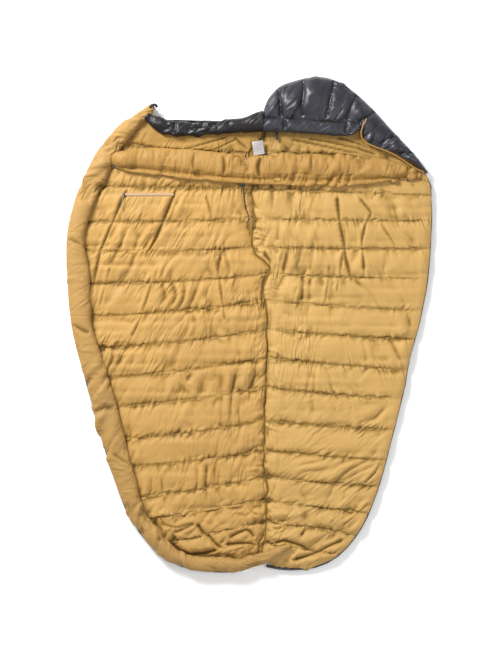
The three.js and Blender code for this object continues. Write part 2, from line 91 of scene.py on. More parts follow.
class Line:
    """A smoothed line with its points, directions and left-hand normals at shares t of its length."""

    def __init__(self, p, sigma=0.02):
        self.q = smooth(p, sigma)
        s = np.r_[0, np.cumsum(np.linalg.norm(np.diff(self.q, axis=0), axis=1))]
        self.length = s[-1]
        self.t = s / s[-1]
        self.d = np.gradient(self.q, axis=0)
        self.d /= np.linalg.norm(self.d, axis=1)[:, None]

    def at(self, t, offset=0.0):
        t = np.asarray(t, float)
        p = np.stack([np.interp(t, self.t, self.q[:, k]) for k in range(2)], -1)
        d = np.stack([np.interp(t, self.t, self.d[:, k]) for k in range(2)], -1)
        n = np.stack([-d[..., 1], d[..., 0]], -1)
        return p + n * np.asarray(offset)[..., None]

    def nearest(self, p):
        return self.t[np.argmin(((self.q - np.asarray(p)) ** 2).sum(1))]


def field(shape, cell, rng):
    """Smooth noise of about unit size. cell is the knots' spacing in grid steps, down and across."""
    n = [int(np.ceil(s / c)) + 3 for s, c in zip(shape, cell)]
    g = rng.standard_normal(n)

    def up(a, m, c):
        x = np.arange(m) / c + rng.random()
        i = x.astype(int)
        f = x - i
        f = f * f * (3 - 2 * f)
        i = np.minimum(i, a.shape[0] - 2)
        return a[i] * (1 - f)[:, None] + a[i + 1] * f[:, None]

    return up(up(g, shape[0], cell[0]).T, shape[1], cell[1]).T


def noise(p, q, rng):
    """Smooth noise at any coordinates, one random value per unit cell."""
    g = rng.standard_normal((97, 97))
    i, j = np.floor(p).astype(int), np.floor(q).astype(int)
    f, h = p - i, q - j
    f, h = f * f * (3 - 2 * f), h * h * (3 - 2 * h)
    i, j = i % 97, j % 97
    k, l = (i + 1) % 97, (j + 1) % 97
    return (g[i, j] * (1 - f) + g[k, j] * f) * (1 - h) + (g[i, l] * (1 - f) + g[k, l] * f) * h


def folds(plan, lean, across, along, rng, warp=0.8):
    """Rounded pleats with sharp valleys, running down the cloth and leaning by lean: about -0.8 in the valleys and up to 1."""
    c, s = math.cos(lean), math.sin(lean)
    x, y = plan[..., 0], plan[..., 1]
    p, q = (x * c + y * s) / across, (-x * s + y * c) / along
    p = p + warp * noise(x / 0.11 + 7, y / 0.11, rng)
    return np.abs(noise(p, q, rng)) - 0.8


def facets(plan, lean, across, along, rng, warp=0.35):
    """Flat facets that meet in sharp folds, as in crushed cloth: -1 to 1."""
    c, s = math.cos(lean), math.sin(lean)
    x, y = plan[..., 0], plan[..., 1]
    p = (x * c + y * s) / across + warp * noise(x / 0.09 + 5, y / 0.09, rng)
    q = (-x * s + y * c) / along + warp * noise(x / 0.09, y / 0.09 + 11, rng)
    g = rng.uniform(-1, 1, (97, 97))
    i, j = np.floor(p).astype(int), np.floor(q).astype(int)
    f, h = p - i, q - j
    i, j = i % 97, j % 97
    k, l = (i + 1) % 97, (j + 1) % 97
    low = g[i, j] + (g[k, j] - g[i, j]) * f + (g[i, l] - g[i, j]) * h
    high = g[k, l] + (g[i, l] - g[k, l]) * (1 - f) + (g[k, j] - g[k, l]) * (1 - h)
    return np.where(f + h < 1, low, high)


def bump(x, a, b):
    """0 below a, 1 above b, smooth between."""
    t = np.clip((x - a) / (b - a), 0, 1)
    return t * t * (3 - 2 * t)


def blur(a, r):
    for axis in (0, 1):
        k = np.ones(2 * r + 1) / (2 * r + 1)
        for _ in range(2):
            pad = [(0, 0), (0, 0)]
            pad[axis] = (r, r)
            a = np.apply_along_axis(lambda m: np.convolve(m, k, "valid"), axis, np.pad(a, pad, mode="edge"))
    return a


def to_lines(plan, lines):
    """Each grid point's distance to the nearest of the creases, as a height limit: lines are (points, height in the valley, half width)."""
    cap = np.full(plan.shape[:2], 1.0)
    near = np.full(plan.shape[:2], 1.0)
    for pts, z, half in lines:
        q = smooth(pts, 0.008, 0.004)
        lo, hi = q.min(0) - 0.06, q.max(0) + 0.06
        m = (plan[..., 0] > lo[0]) & (plan[..., 0] < hi[0]) & (plan[..., 1] > lo[1]) & (plan[..., 1] < hi[1])
        if not m.any():
            continue
        p = plan[m]
        d2 = ((p[:, None] - q[None]) ** 2).sum(-1)
        k = d2.argmin(1)
        d = np.sqrt(d2[np.arange(len(p)), k])
        s = k / (len(q) - 1)
        end = np.clip(np.minimum(s, 1 - s) * 8, 0, 1)
        c = z + 0.02 * (1 - end) + np.maximum(0, d - half) * 1.3
        cap[m] = np.minimum(cap[m], c)
        near[m] = np.minimum(near[m], d + 0.02 * (1 - end))
    return cap, near


# ------------------------------------------------------------------ cloth: position-based, on a grid of rows and columns
def pull(a, b, wa, wb, rest, k=1.0):
    d = b - a
    l = np.sqrt(d[0] * d[0] + d[1] * d[1] + d[2] * d[2]) + 1e-9
    d *= k * (l - rest) / (l * (wa + wb + 1e-6))
    a += d * wa
    b -= d * wb


def normals(P):
    du = np.empty_like(P)
    du[:, :, 1:-1] = P[:, :, 2:] - P[:, :, :-2]
    du[:, :, 0] = P[:, :, 1] - P[:, :, 0]
    du[:, :, -1] = P[:, :, -1] - P[:, :, -2]
    dv = np.empty_like(P)
    dv[:, 1:-1] = P[:, 2:] - P[:, :-2]
    dv[:, 0] = P[:, 1] - P[:, 0]
    dv[:, -1] = P[:, -1] - P[:, -2]
    n = np.stack([du[1] * dv[2] - du[2] * dv[1], du[2] * dv[0] - du[0] * dv[2], du[0] * dv[1] - du[1] * dv[0]])
    n /= np.sqrt((n * n).sum(0)) + 1e-9
    return n


def settle(start, target, free, steps, push, bend=0.003, cap=None, floor=None, drag=0.6, out=1.0, most=0.2):
    """Cloth cut to the start's own lengths, though never shorter than the target's or longer by more than most, is pushed out a little by its fill and left to settle. free is 0 where it is sewn down."""
    P = np.ascontiguousarray(np.moveaxis(start, -1, 0)).astype(np.float32)
    T = np.moveaxis(target, -1, 0).astype(np.float32)
    w = free.astype(np.float32)

    def cut(a, b):
        s, t = (np.sqrt(((X[a] - X[b]) ** 2).sum(0)) for X in (P, T))
        return np.clip(s, t, t * (1 + most))

    A = slice(None)
    ru = cut((A, A, slice(1, None)), (A, A, slice(None, -1)))
    rv = cut((A, slice(1, None)), (A, slice(None, -1)))
    r1 = cut((A, slice(1, None), slice(1, None)), (A, slice(None, -1), slice(None, -1)))
    r2 = cut((A, slice(1, None), slice(None, -1)), (A, slice(None, -1), slice(1, None)))
    V = np.zeros_like(P)
    capf = None if cap is None else cap.astype(np.float32)
    for k in range(steps):
        if k % 3 == 0:
            N = normals(P) * np.float32(out)
        Q = P.copy()
        V = V * np.float32(drag) + N * np.float32(push)
        P += V * w
        for s in (0, 1):
            a, b = P[:, :, s:-1:2], P[:, :, s + 1 :: 2]
            pull(a, b, w[:, s:-1:2], w[:, s + 1 :: 2], ru[:, s::2])
            a, b = P[:, s:-1:2], P[:, s + 1 :: 2]
            pull(a, b, w[s:-1:2], w[s + 1 :: 2], rv[s::2])
        for s in (0, 1):
            pull(P[:, s:-1:2, :-1], P[:, s + 1 :: 2, 1:], w[s:-1:2, :-1], w[s + 1 :: 2, 1:], r1[s::2], 0.5)
            pull(P[:, s:-1:2, 1:], P[:, s + 1 :: 2, :-1], w[s:-1:2, 1:], w[s + 1 :: 2, :-1], r2[s::2], 0.5)
        for _ in range(1):
            L = (P[:, :, :-2] + P[:, :, 2:]) * 0.5 - P[:, :, 1:-1]
            P[:, :, 1:-1] += bend * L * w[:, 1:-1]
            L = (P[:, :-2] + P[:, 2:]) * 0.5 - P[:, 1:-1]
            P[:, 1:-1] += bend * L * w[1:-1]
        if capf is not None:
            P[2] = np.where(w > 0, np.minimum(P[2], capf), P[2])
        if floor is not None:
            P[2] = np.where(w > 0, np.maximum(P[2], floor), P[2])
        V = P - Q
    return np.moveaxis(P, 0, -1).astype(float)


# ------------------------------------------------------------------ meshes and materials
def mesh(name, V, F, attrs=None, uv=None):
    me = bpy.data.meshes.new(name)
    V = np.asarray(V, np.float32).reshape(-1, 3)
    F = np.asarray(F, np.int32)
    me.vertices.add(len(V))
    me.vertices.foreach_set("co", V.ravel())
    me.loops.add(F.size)
    me.loops.foreach_set("vertex_index", F.ravel())
    me.polygons.add(len(F))
    me.polygons.foreach_set("loop_start", np.arange(0, F.size, F.shape[1], dtype=np.int32))
    me.update(calc_edges=True)
    me.validate()
    me.polygons.foreach_set("use_smooth", np.ones(len(me.polygons), bool))
    for key, val in (attrs or {}).items():
        a = me.attributes.new(key, "FLOAT", "POINT")
        a.data.foreach_set("value", np.asarray(val, np.float32).ravel())
    if uv is not None:
        layer = me.uv_layers.new(name="cloth")
        layer.data.foreach_set("uv", np.asarray(uv, np.float32).reshape(-1, 2)[F.ravel()].ravel())
    ob = bpy.data.objects.new(name, me)
    bpy.context.scene.collection.objects.link(ob)
    return ob


def quads(nv, nu, flip=False, wrap=False):
    i = np.arange(nv - 1)[:, None]
    j = np.arange(nu if wrap else nu - 1)[None]
    k = (j + 1) % nu
    a, b, c, d = i * nu + j, i * nu + k, (i + 1) * nu + k, (i + 1) * nu + j
    f = np.stack([a, b, c, d], -1).reshape(-1, 4)
    return f[:, ::-1] if flip else f


def painted_fold_shade(P, size=6, depth=0.010):
    """How far each point lies below its surroundings, 0 to 1, used as painted shade that darkens the colour of deep
    folds.
    """
    z = P[..., 2]
    return np.clip((blur(z, size) - z) / depth, 0, 1)


def cloth_uv(P):
    du = np.r_[0, np.cumsum(np.linalg.norm(np.diff(P, axis=1), axis=-1).mean(0))]
    dv = np.r_[0, np.cumsum(np.linalg.norm(np.diff(P, axis=0), axis=-1).mean(1))]
    return np.stack(np.broadcast_arrays(du[None, :], dv[:, None]), -1)


def node(nt, kind, **inputs):
    n = nt.nodes.new(kind)
    for key, val in inputs.items():
        if hasattr(val, "is_output"):
            nt.links.new(val, n.inputs[key.replace("_", " ")])
        elif key in n.bl_rna.properties:
            setattr(n, key, val)
        else:
            n.inputs[key.replace("_", " ")].default_value = val
    return n


def lin(c):
    return tuple((x / 255 / 12.92 if x / 255 <= 0.04045 else ((x / 255 + 0.055) / 1.055) ** 2.4) for x in c) + (1.0,)


def ridges(nt, vec, lean, across, along, distortion):
    """Height of small sharp-valleyed pleats, as in folds()."""
    mp = nt.nodes.new("ShaderNodeMapping")
    mp.vector_type = "TEXTURE"
    nt.links.new(vec, mp.inputs["Vector"])
    mp.inputs["Rotation"].default_value = (0, 0, lean)
    mp.inputs["Scale"].default_value = (across, along, 1.0)
    n = node(nt, "ShaderNodeTexNoise", Vector=mp.outputs[0], Scale=1.0, Detail=0.4, Roughness=0.4, Distortion=distortion)
    sub = node(nt, "ShaderNodeMath", operation="SUBTRACT")
    nt.links.new(n.outputs[0], sub.inputs[0])
    sub.inputs[1].default_value = 0.5
    ab = node(nt, "ShaderNodeMath", operation="ABSOLUTE")
    nt.links.new(sub.outputs[0], ab.inputs[0])
    # calm and wrinkled patches
    spot = node(nt, "ShaderNodeTexNoise", Vector=vec, Scale=11.0 + 3 * lean, Detail=1.0)
    rng = node(nt, "ShaderNodeMapRange", Value=spot.outputs[0], From_Min=0.40, From_Max=0.62, To_Min=0.12, To_Max=1.0)
    both = node(nt, "ShaderNodeMath", operation="MULTIPLY")
    nt.links.new(ab.outputs[0], both.inputs[0])
    nt.links.new(rng.outputs[0], both.inputs[1])
    return both.outputs[0]


# the shade strength argument sets how far painted shade darkens the colour in folds and seams
def cloth_material(name, rgb, rough, sheen, weave=0.0011, weave_bump=0.15, soft_bump=0.5, painted_dark=0.75, spec=0.5, vary=0.06, coords="UV", soft_scale=70.0, tint=None, pleats=(), pleat_depth=0.02):
    """pleats lists (vertex attribute that scales them or None, lean, width, length, gain)."""
    m = bpy.data.materials.new(name)
    m.use_nodes = True
    nt = m.node_tree
    nt.nodes.clear()
    out = nt.nodes.new("ShaderNodeOutputMaterial")
    b = nt.nodes.new("ShaderNodeBsdfPrincipled")
    nt.links.new(b.outputs[0], out.inputs[0])
    tc = nt.nodes.new("ShaderNodeTexCoord")
    co = tc.outputs[coords]
    obj = tc.outputs["Object"]
    # colour: broad tone changes, a little mottling, and painted shade: darker and more saturated where the vertex shade
    # attribute is high
    n1 = node(nt, "ShaderNodeTexNoise", Vector=obj, Scale=5.0, Detail=3.0, Roughness=0.6)
    n2 = node(nt, "ShaderNodeTexNoise", Vector=obj, Scale=900.0, Detail=2.0)
    r1 = node(nt, "ShaderNodeMapRange", Value=n1.outputs[0], From_Min=0.3, From_Max=0.7, To_Min=1 - vary, To_Max=1 + vary)
    r2 = node(nt, "ShaderNodeMapRange", Value=n2.outputs[0], From_Min=0.3, From_Max=0.7, To_Min=0.965, To_Max=1.035)
    mul = node(nt, "ShaderNodeMath", operation="MULTIPLY")
    nt.links.new(r1.outputs[0], mul.inputs[0])
    nt.links.new(r2.outputs[0], mul.inputs[1])
    att = nt.nodes.new("ShaderNodeAttribute")
    att.attribute_name = "painted_shade"
    r3 = node(nt, "ShaderNodeMapRange", Value=att.outputs["Fac"], From_Min=0.0, From_Max=1.0, To_Min=1.0, To_Max=1 - painted_dark)
    mul2 = node(nt, "ShaderNodeMath", operation="MULTIPLY")
    nt.links.new(mul.outputs[0], mul2.inputs[0])
    nt.links.new(r3.outputs[0], mul2.inputs[1])
    hsv = node(nt, "ShaderNodeHueSaturation", Color=lin(rgb), Saturation=1.0, Fac=1.0)
    nt.links.new(mul2.outputs[0], hsv.inputs["Value"])
    sat = node(nt, "ShaderNodeMapRange", Value=att.outputs["Fac"], From_Min=0.0, From_Max=1.0, To_Min=1.0, To_Max=1.12)
    nt.links.new(sat.outputs[0], hsv.inputs["Saturation"])
    nt.links.new(hsv.outputs[0], b.inputs["Base Color"])
    # roughness
    rr = node(nt, "ShaderNodeMapRange", Value=n1.outputs[0], From_Min=0.3, From_Max=0.7, To_Min=rough - 0.05, To_Max=rough + 0.05)
    nt.links.new(rr.outputs[0], b.inputs["Roughness"])
    b.inputs["Sheen Weight"].default_value = sheen
    b.inputs["Sheen Roughness"].default_value = 0.45
    b.inputs["Sheen Tint"].default_value = tint or lin([min(255, c + 60) for c in rgb])
    b.inputs["Specular IOR Level"].default_value = spec
    # bump: soft small wrinkles, then the weave
    w1 = node(nt, "ShaderNodeTexNoise", Vector=obj, Scale=soft_scale, Detail=4.0, Roughness=0.55, Distortion=0.6)
    b1 = node(nt, "ShaderNodeBump", Height=w1.outputs[0], Strength=soft_bump, Distance=0.004)
    total = None
    for key, lean, across, along, gain in pleats:
        h = ridges(nt, obj if key else co, lean, across, along, 0.35)
        m1 = node(nt, "ShaderNodeMath", operation="MULTIPLY")
        nt.links.new(h, m1.inputs[0])
        m1.inputs[1].default_value = gain
        if key:
            wgt = nt.nodes.new("ShaderNodeAttribute")
            wgt.attribute_name = key
            m2 = node(nt, "ShaderNodeMath", operation="MULTIPLY")
            nt.links.new(m1.outputs[0], m2.inputs[0])
            nt.links.new(wgt.outputs["Fac"], m2.inputs[1])
            m1 = m2
        if total is None:
            total = m1
        else:
            m3 = node(nt, "ShaderNodeMath", operation="ADD")
            nt.links.new(total.outputs[0], m3.inputs[0])
            nt.links.new(m1.outputs[0], m3.inputs[1])
            total = m3
    if total is not None:
        b1 = node(nt, "ShaderNodeBump", Height=total.outputs[0], Normal=b1.outputs[0], Strength=1.0, Distance=pleat_depth)
    if weave:
        wx = node(nt, "ShaderNodeTexWave", Vector=co, Scale=1 / weave / 6.2832 * 6.2832 / 10, bands_direction="X", wave_profile="SIN")
        wy = node(nt, "ShaderNodeTexWave", Vector=co, Scale=1 / weave / 10, bands_direction="Y", wave_profile="SIN")
        mx = node(nt, "ShaderNodeMath", operation="MAXIMUM")
        nt.links.new(wx.outputs["Fac"], mx.inputs[0])
        nt.links.new(wy.outputs["Fac"], mx.inputs[1])
        b2 = node(nt, "ShaderNodeBump", Height=mx.outputs[0], Normal=b1.outputs[0], Strength=weave_bump, Distance=0.0004)
        nt.links.new(b2.outputs[0], b.inputs["Normal"])
    else:
        nt.links.new(b1.outputs[0], b.inputs["Normal"])
    return m


def hard_material(name, rgb, rough, metal=0.0, bump=0.2, scale=400.0, vary=0.08, spec=0.5):
    m = bpy.data.materials.new(name)
    m.use_nodes = True
    nt = m.node_tree
    b = nt.nodes["Principled BSDF"]
    tc = nt.nodes.new("ShaderNodeTexCoord")
    obj = tc.outputs["Object"]
    n1 = node(nt, "ShaderNodeTexNoise", Vector=obj, Scale=scale, Detail=3.0)
    r1 = node(nt, "ShaderNodeMapRange", Value=n1.outputs[0], From_Min=0.3, From_Max=0.7, To_Min=1 - vary, To_Max=1 + vary)
    hsv = node(nt, "ShaderNodeHueSaturation", Color=lin(rgb), Fac=1.0)
    nt.links.new(r1.outputs[0], hsv.inputs["Value"])
    nt.links.new(hsv.outputs[0], b.inputs["Base Color"])
    rr = node(nt, "ShaderNodeMapRange", Value=n1.outputs[0], From_Min=0.3, From_Max=0.7, To_Min=rough - 0.06, To_Max=rough + 0.06)
    nt.links.new(rr.outputs[0], b.inputs["Roughness"])
    b.inputs["Metallic"].default_value = metal
    b.inputs["Specular IOR Level"].default_value = spec
    bp = node(nt, "ShaderNodeBump", Height=n1.outputs[0], Strength=bump, Distance=0.0003)
    nt.links.new(bp.outputs[0], b.inputs["Normal"])
    return m


TAN = (172, 134, 74)
CHAR = (34, 33, 38)
M_LINING = cloth_material("lining_taffeta", TAN, 0.60, 0.15, spec=0.24, soft_bump=0.12, pleat_depth=0.024, pleats=[
    ("pleat_a", -0.50, 0.017, 0.090, 1.1), ("pleat_a", -0.30, 0.034, 0.120, 1.0), ("pleat_b", -0.10, 0.017, 0.070, 1.1), ("pleat_b", -0.6, 0.034, 0.080, 0.9), ("pleat_c", 0.42, 0.019, 0.090, 1.0), ("pleat_d", -0.95, 0.018, 0.080, 1.0), ("pleat_e", 0.6, 0.034, 0.07, 0.5), ("pleat_e", -0.9, 0.030, 0.07, 0.5)])
# painted light: the back half's lining is the same tan taffeta given a lighter colour, standing in for brighter light
# on that half
M_LINING_BACK = cloth_material("lining_taffeta_back", (176, 140, 80), 0.60, 0.15, spec=0.24, soft_bump=0.12, pleat_depth=0.024, pleats=[
    ("pleat_b", -0.08, 0.018, 0.070, 1.1), ("pleat_c", 0.42, 0.020, 0.090, 1.1), ("pleat_d", -0.95, 0.018, 0.080, 1.2), ("pleat_b", 0.5, 0.034, 0.080, 0.9), ("pleat_e", 0.6, 0.030, 0.06, 0.6), ("pleat_e", -0.9, 0.026, 0.06, 0.6)])
# painted shade: the collar is the lining's tan taffeta given a darker colour, standing in for shade
M_COLLAR = cloth_material("collar_taffeta_painted_shade", (154, 117, 60), 0.60, 0.15, spec=0.24, soft_bump=0.12, pleat_depth=0.012, pleats=[(None, 1.42, 0.024, 0.08, 1.0), (None, 1.85, 0.038, 0.09, 1.4)])
M_TUBE = cloth_material("draft_tube_taffeta", (157, 122, 68), 0.60, 0.15, spec=0.24, soft_bump=0.12, pleat_depth=0.012, pleats=[(None, 0.95, 0.024, 0.08, 1.0), (None, 2.0, 0.034, 0.08, 1.0)])
M_SHELL = cloth_material("shell_ripstop", CHAR, 0.48, 0.03, painted_dark=0.6, spec=0.3, soft_bump=0.3, tint=lin((120, 122, 135)))
M_HOOD = cloth_material("hood_ripstop", (37, 36, 43), 0.40, 0.03, painted_dark=0.8, spec=0.42, soft_bump=0.10, soft_scale=55.0, tint=lin((120, 122, 135)), pleat_depth=0.014, pleats=[("pleat_a", -0.75, 0.022, 0.11, 1.0), ("pleat_a", -0.50, 0.042, 0.15, 1.4)])
M_BAND = cloth_material("band_ripstop", (23, 20, 22), 0.40, 0.03, painted_dark=0.8, spec=0.34, soft_bump=0.10, soft_scale=55.0, tint=lin((110, 110, 120)), pleat_depth=0.014, pleats=[("pleat_a", -0.95, 0.022, 0.09, 1.0), ("pleat_a", -0.60, 0.040, 0.11, 1.2)])
M_PIPING = cloth_material("piping_binding", (150, 112, 50), 0.5, 0.1, weave=0.0006, painted_dark=0.0, soft_bump=0.1, coords="Object")
M_LABEL = cloth_material("label_satin", (164, 159, 156), 0.45, 0.1, weave=0.0005, painted_dark=0.2, soft_bump=0.1, vary=0.02)
M_LABEL.node_tree.nodes["Principled BSDF"].inputs["Roughness"].default_value = 0.5
nt = M_LABEL.node_tree
lab_uv = nt.nodes.new("ShaderNodeTexCoord")
sep = node(nt, "ShaderNodeSeparateXYZ", Vector=lab_uv.outputs["UV"])
rows = node(nt, "ShaderNodeMath", operation="SINE")
turn = node(nt, "ShaderNodeMath", operation="MULTIPLY")
nt.links.new(sep.outputs[1], turn.inputs[0])
turn.inputs[1].default_value = 900.0
nt.links.new(turn.outputs[0], rows.inputs[0])
on = node(nt, "ShaderNodeMath", operation="GREATER_THAN")
nt.links.new(rows.outputs[0], on.inputs[0])
on.inputs[1].default_value = 0.25
words = node(nt, "ShaderNodeTexNoise", Vector=lab_uv.outputs["UV"], Scale=160.0, Detail=1.0)
w_on = node(nt, "ShaderNodeMath", operation="GREATER_THAN")
nt.links.new(words.outputs[0], w_on.inputs[0])
w_on.inputs[1].default_value = 0.42
both = node(nt, "ShaderNodeMath", operation="MULTIPLY")
nt.links.new(on.outputs[0], both.inputs[0])
nt.links.new(w_on.outputs[0], both.inputs[1])
half_tone = node(nt, "ShaderNodeMath", operation="MULTIPLY")
nt.links.new(both.outputs[0], half_tone.inputs[0])
half_tone.inputs[1].default_value = 0.75
mix = nt.nodes.new("ShaderNodeMix")
mix.data_type = "RGBA"
old = nt.nodes["Principled BSDF"].inputs["Base Color"].links[0].from_socket
nt.links.new(half_tone.outputs[0], mix.inputs[0])
nt.links.new(old, mix.inputs[6])
mix.inputs[7].default_value = lin((120, 118, 120))
nt.links.new(mix.outputs[2], nt.nodes["Principled BSDF"].inputs["Base Color"])
M_TAPE = cloth_material("zip_tape_twill", (30, 30, 34), 0.7, 0.15, weave=0.0008, painted_dark=0.0, soft_bump=0.1, coords="Object")
M_CORD = cloth_material("braided_cord", (22, 20, 20), 0.65, 0.05, weave=0.0009, weave_bump=0.6, painted_dark=0.0, soft_bump=0.1, coords="Object")
M_WEB = cloth_material("webbing", (28, 28, 32), 0.7, 0.2, weave=0.0012, weave_bump=0.5, painted_dark=0.0, soft_bump=0.1, coords="Object")
M_POCKET = cloth_material("pocket_tape", (168, 138, 104), 0.55, 0.1, weave=0.0008, painted_dark=0.0, soft_bump=0.1, coords="Object")
M_PULL = cloth_material("pull_cord", (140, 122, 100), 0.6, 0.2, weave=0.0009, weave_bump=0.6, painted_dark=0.0, soft_bump=0.1, coords="Object")
M_COIL = hard_material("zip_coil_nylon", (34, 34, 38), 0.4)
M_POCKET_COIL = hard_material("pocket_coil_nylon", (205, 175, 150), 0.45)
M_METAL = hard_material("slider_enamel", (28, 28, 30), 0.35, metal=0.6)
M_PLASTIC = hard_material("moulded_plastic", (24, 24, 27), 0.42, bump=0.1)
M_SNAP = hard_material("snap_gunmetal", (105, 100, 96), 0.3, metal=1.0)
M_SPRING = hard_material("spring_steel", (170, 170, 172), 0.25, metal=1.0)

# ------------------------------------------------------------------ camera
cam_data = bpy.data.cameras.new("camera")
cam_data.lens, cam_data.sensor_width, cam_data.sensor_fit = 85, 36, "AUTO"
cam = bpy.data.objects.new("camera", cam_data)
bpy.context.scene.collection.objects.link(cam)
half_tall = 325 * GRID / 1000
centre_x, centre_y = (0.5 * GRID + SX) / 1000, (-0.5 * GRID + SY) / 1000
cam.location = (centre_x, centre_y, 0.04 + half_tall * 85 / 18)
cam_data.clip_end = 100
bpy.context.scene.camera = cam


def finish_soft(ob, mat, replaced, blend=True, body="top_panel"):
    ob.data.materials.append(mat)
    if replaced:
        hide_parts(*replaced)
    if blend:
        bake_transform(ob)
    else:
        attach(ob, body)
    return ob


left_edge, right_edge = Line(LEFT_EDGE, 0.025), Line(RIGHT_EDGE, 0.025)
tube_in = Line(TUBE_IN, 0.02)
hood_top, hood_low = Line(HOOD_TOP, 0.018), Line(HOOD_LOW, 0.01)
centre = smooth(CENTRE, 0.012)
order = np.argsort(-centre[:, 1])
wander = 0.0030 * noise(centre[order, 1] / 0.035, 0 * centre[order, 1] + 0.5, np.random.default_rng(77))
centre_x_at = lambda y: np.interp(-y, -centre[order, 1], centre[order, 0] + wander)

# ------------------------------------------------------------------ the two lined halves
PER = int(24 * FINE)  # rows in a chamber
ROWS = len(SIDE_Y) - 1
v_rows = np.linspace(0, ROWS, ROWS * PER + 1)


def half(edge, rows, side, cols, top=None, inset=0.0075, sag=0.0):
    """The half's plan: rows from the side seam (u=0) to the zip (u=1)."""
    ends = [edge.nearest(r) for r in rows]
    t = np.interp(v_rows, np.arange(ROWS + 1), ends)
    e = edge.at(t, inset if side < 0 else -inset)
    y = (np.interp(v_rows, np.arange(ROWS + 1), SIDE_Y) + SY) / 1000
    c = np.stack([centre_x_at(y), y], -1)
    u = np.linspace(0, 1, cols)
    plan = c[:, None] + (e - c)[:, None] * u[None, :, None]
    plan[..., 1] -= (sag * np.clip(np.minimum(v_rows - 2.5, 13 - v_rows), 0, 1))[:, None] * 4 * (u * (1 - u))[None]
    if top is not None:
        line = top.at(u, -0.004)
        f = np.clip(1 - v_rows / 2, 0, 1)[:, None, None]
        plan = plan + (line - plan[0])[None] * f
    # the last row follows the outline round the foot
    foot = edge.at(1 + (ends[-1] - 1) * u, inset if side < 0 else -min(inset, 0.007))
    foot = foot + (plan[-1, 0] - foot[0]) * (1 - u[:, None]) ** 6
    f = np.clip(v_rows - ROWS + 1, 0, 1)[:, None, None] ** 1.3
    plan = plan + (foot - plan[-1])[None] * f
    return plan, u


def frac(v):
    f = v - np.floor(v + 1e-9)
    return f


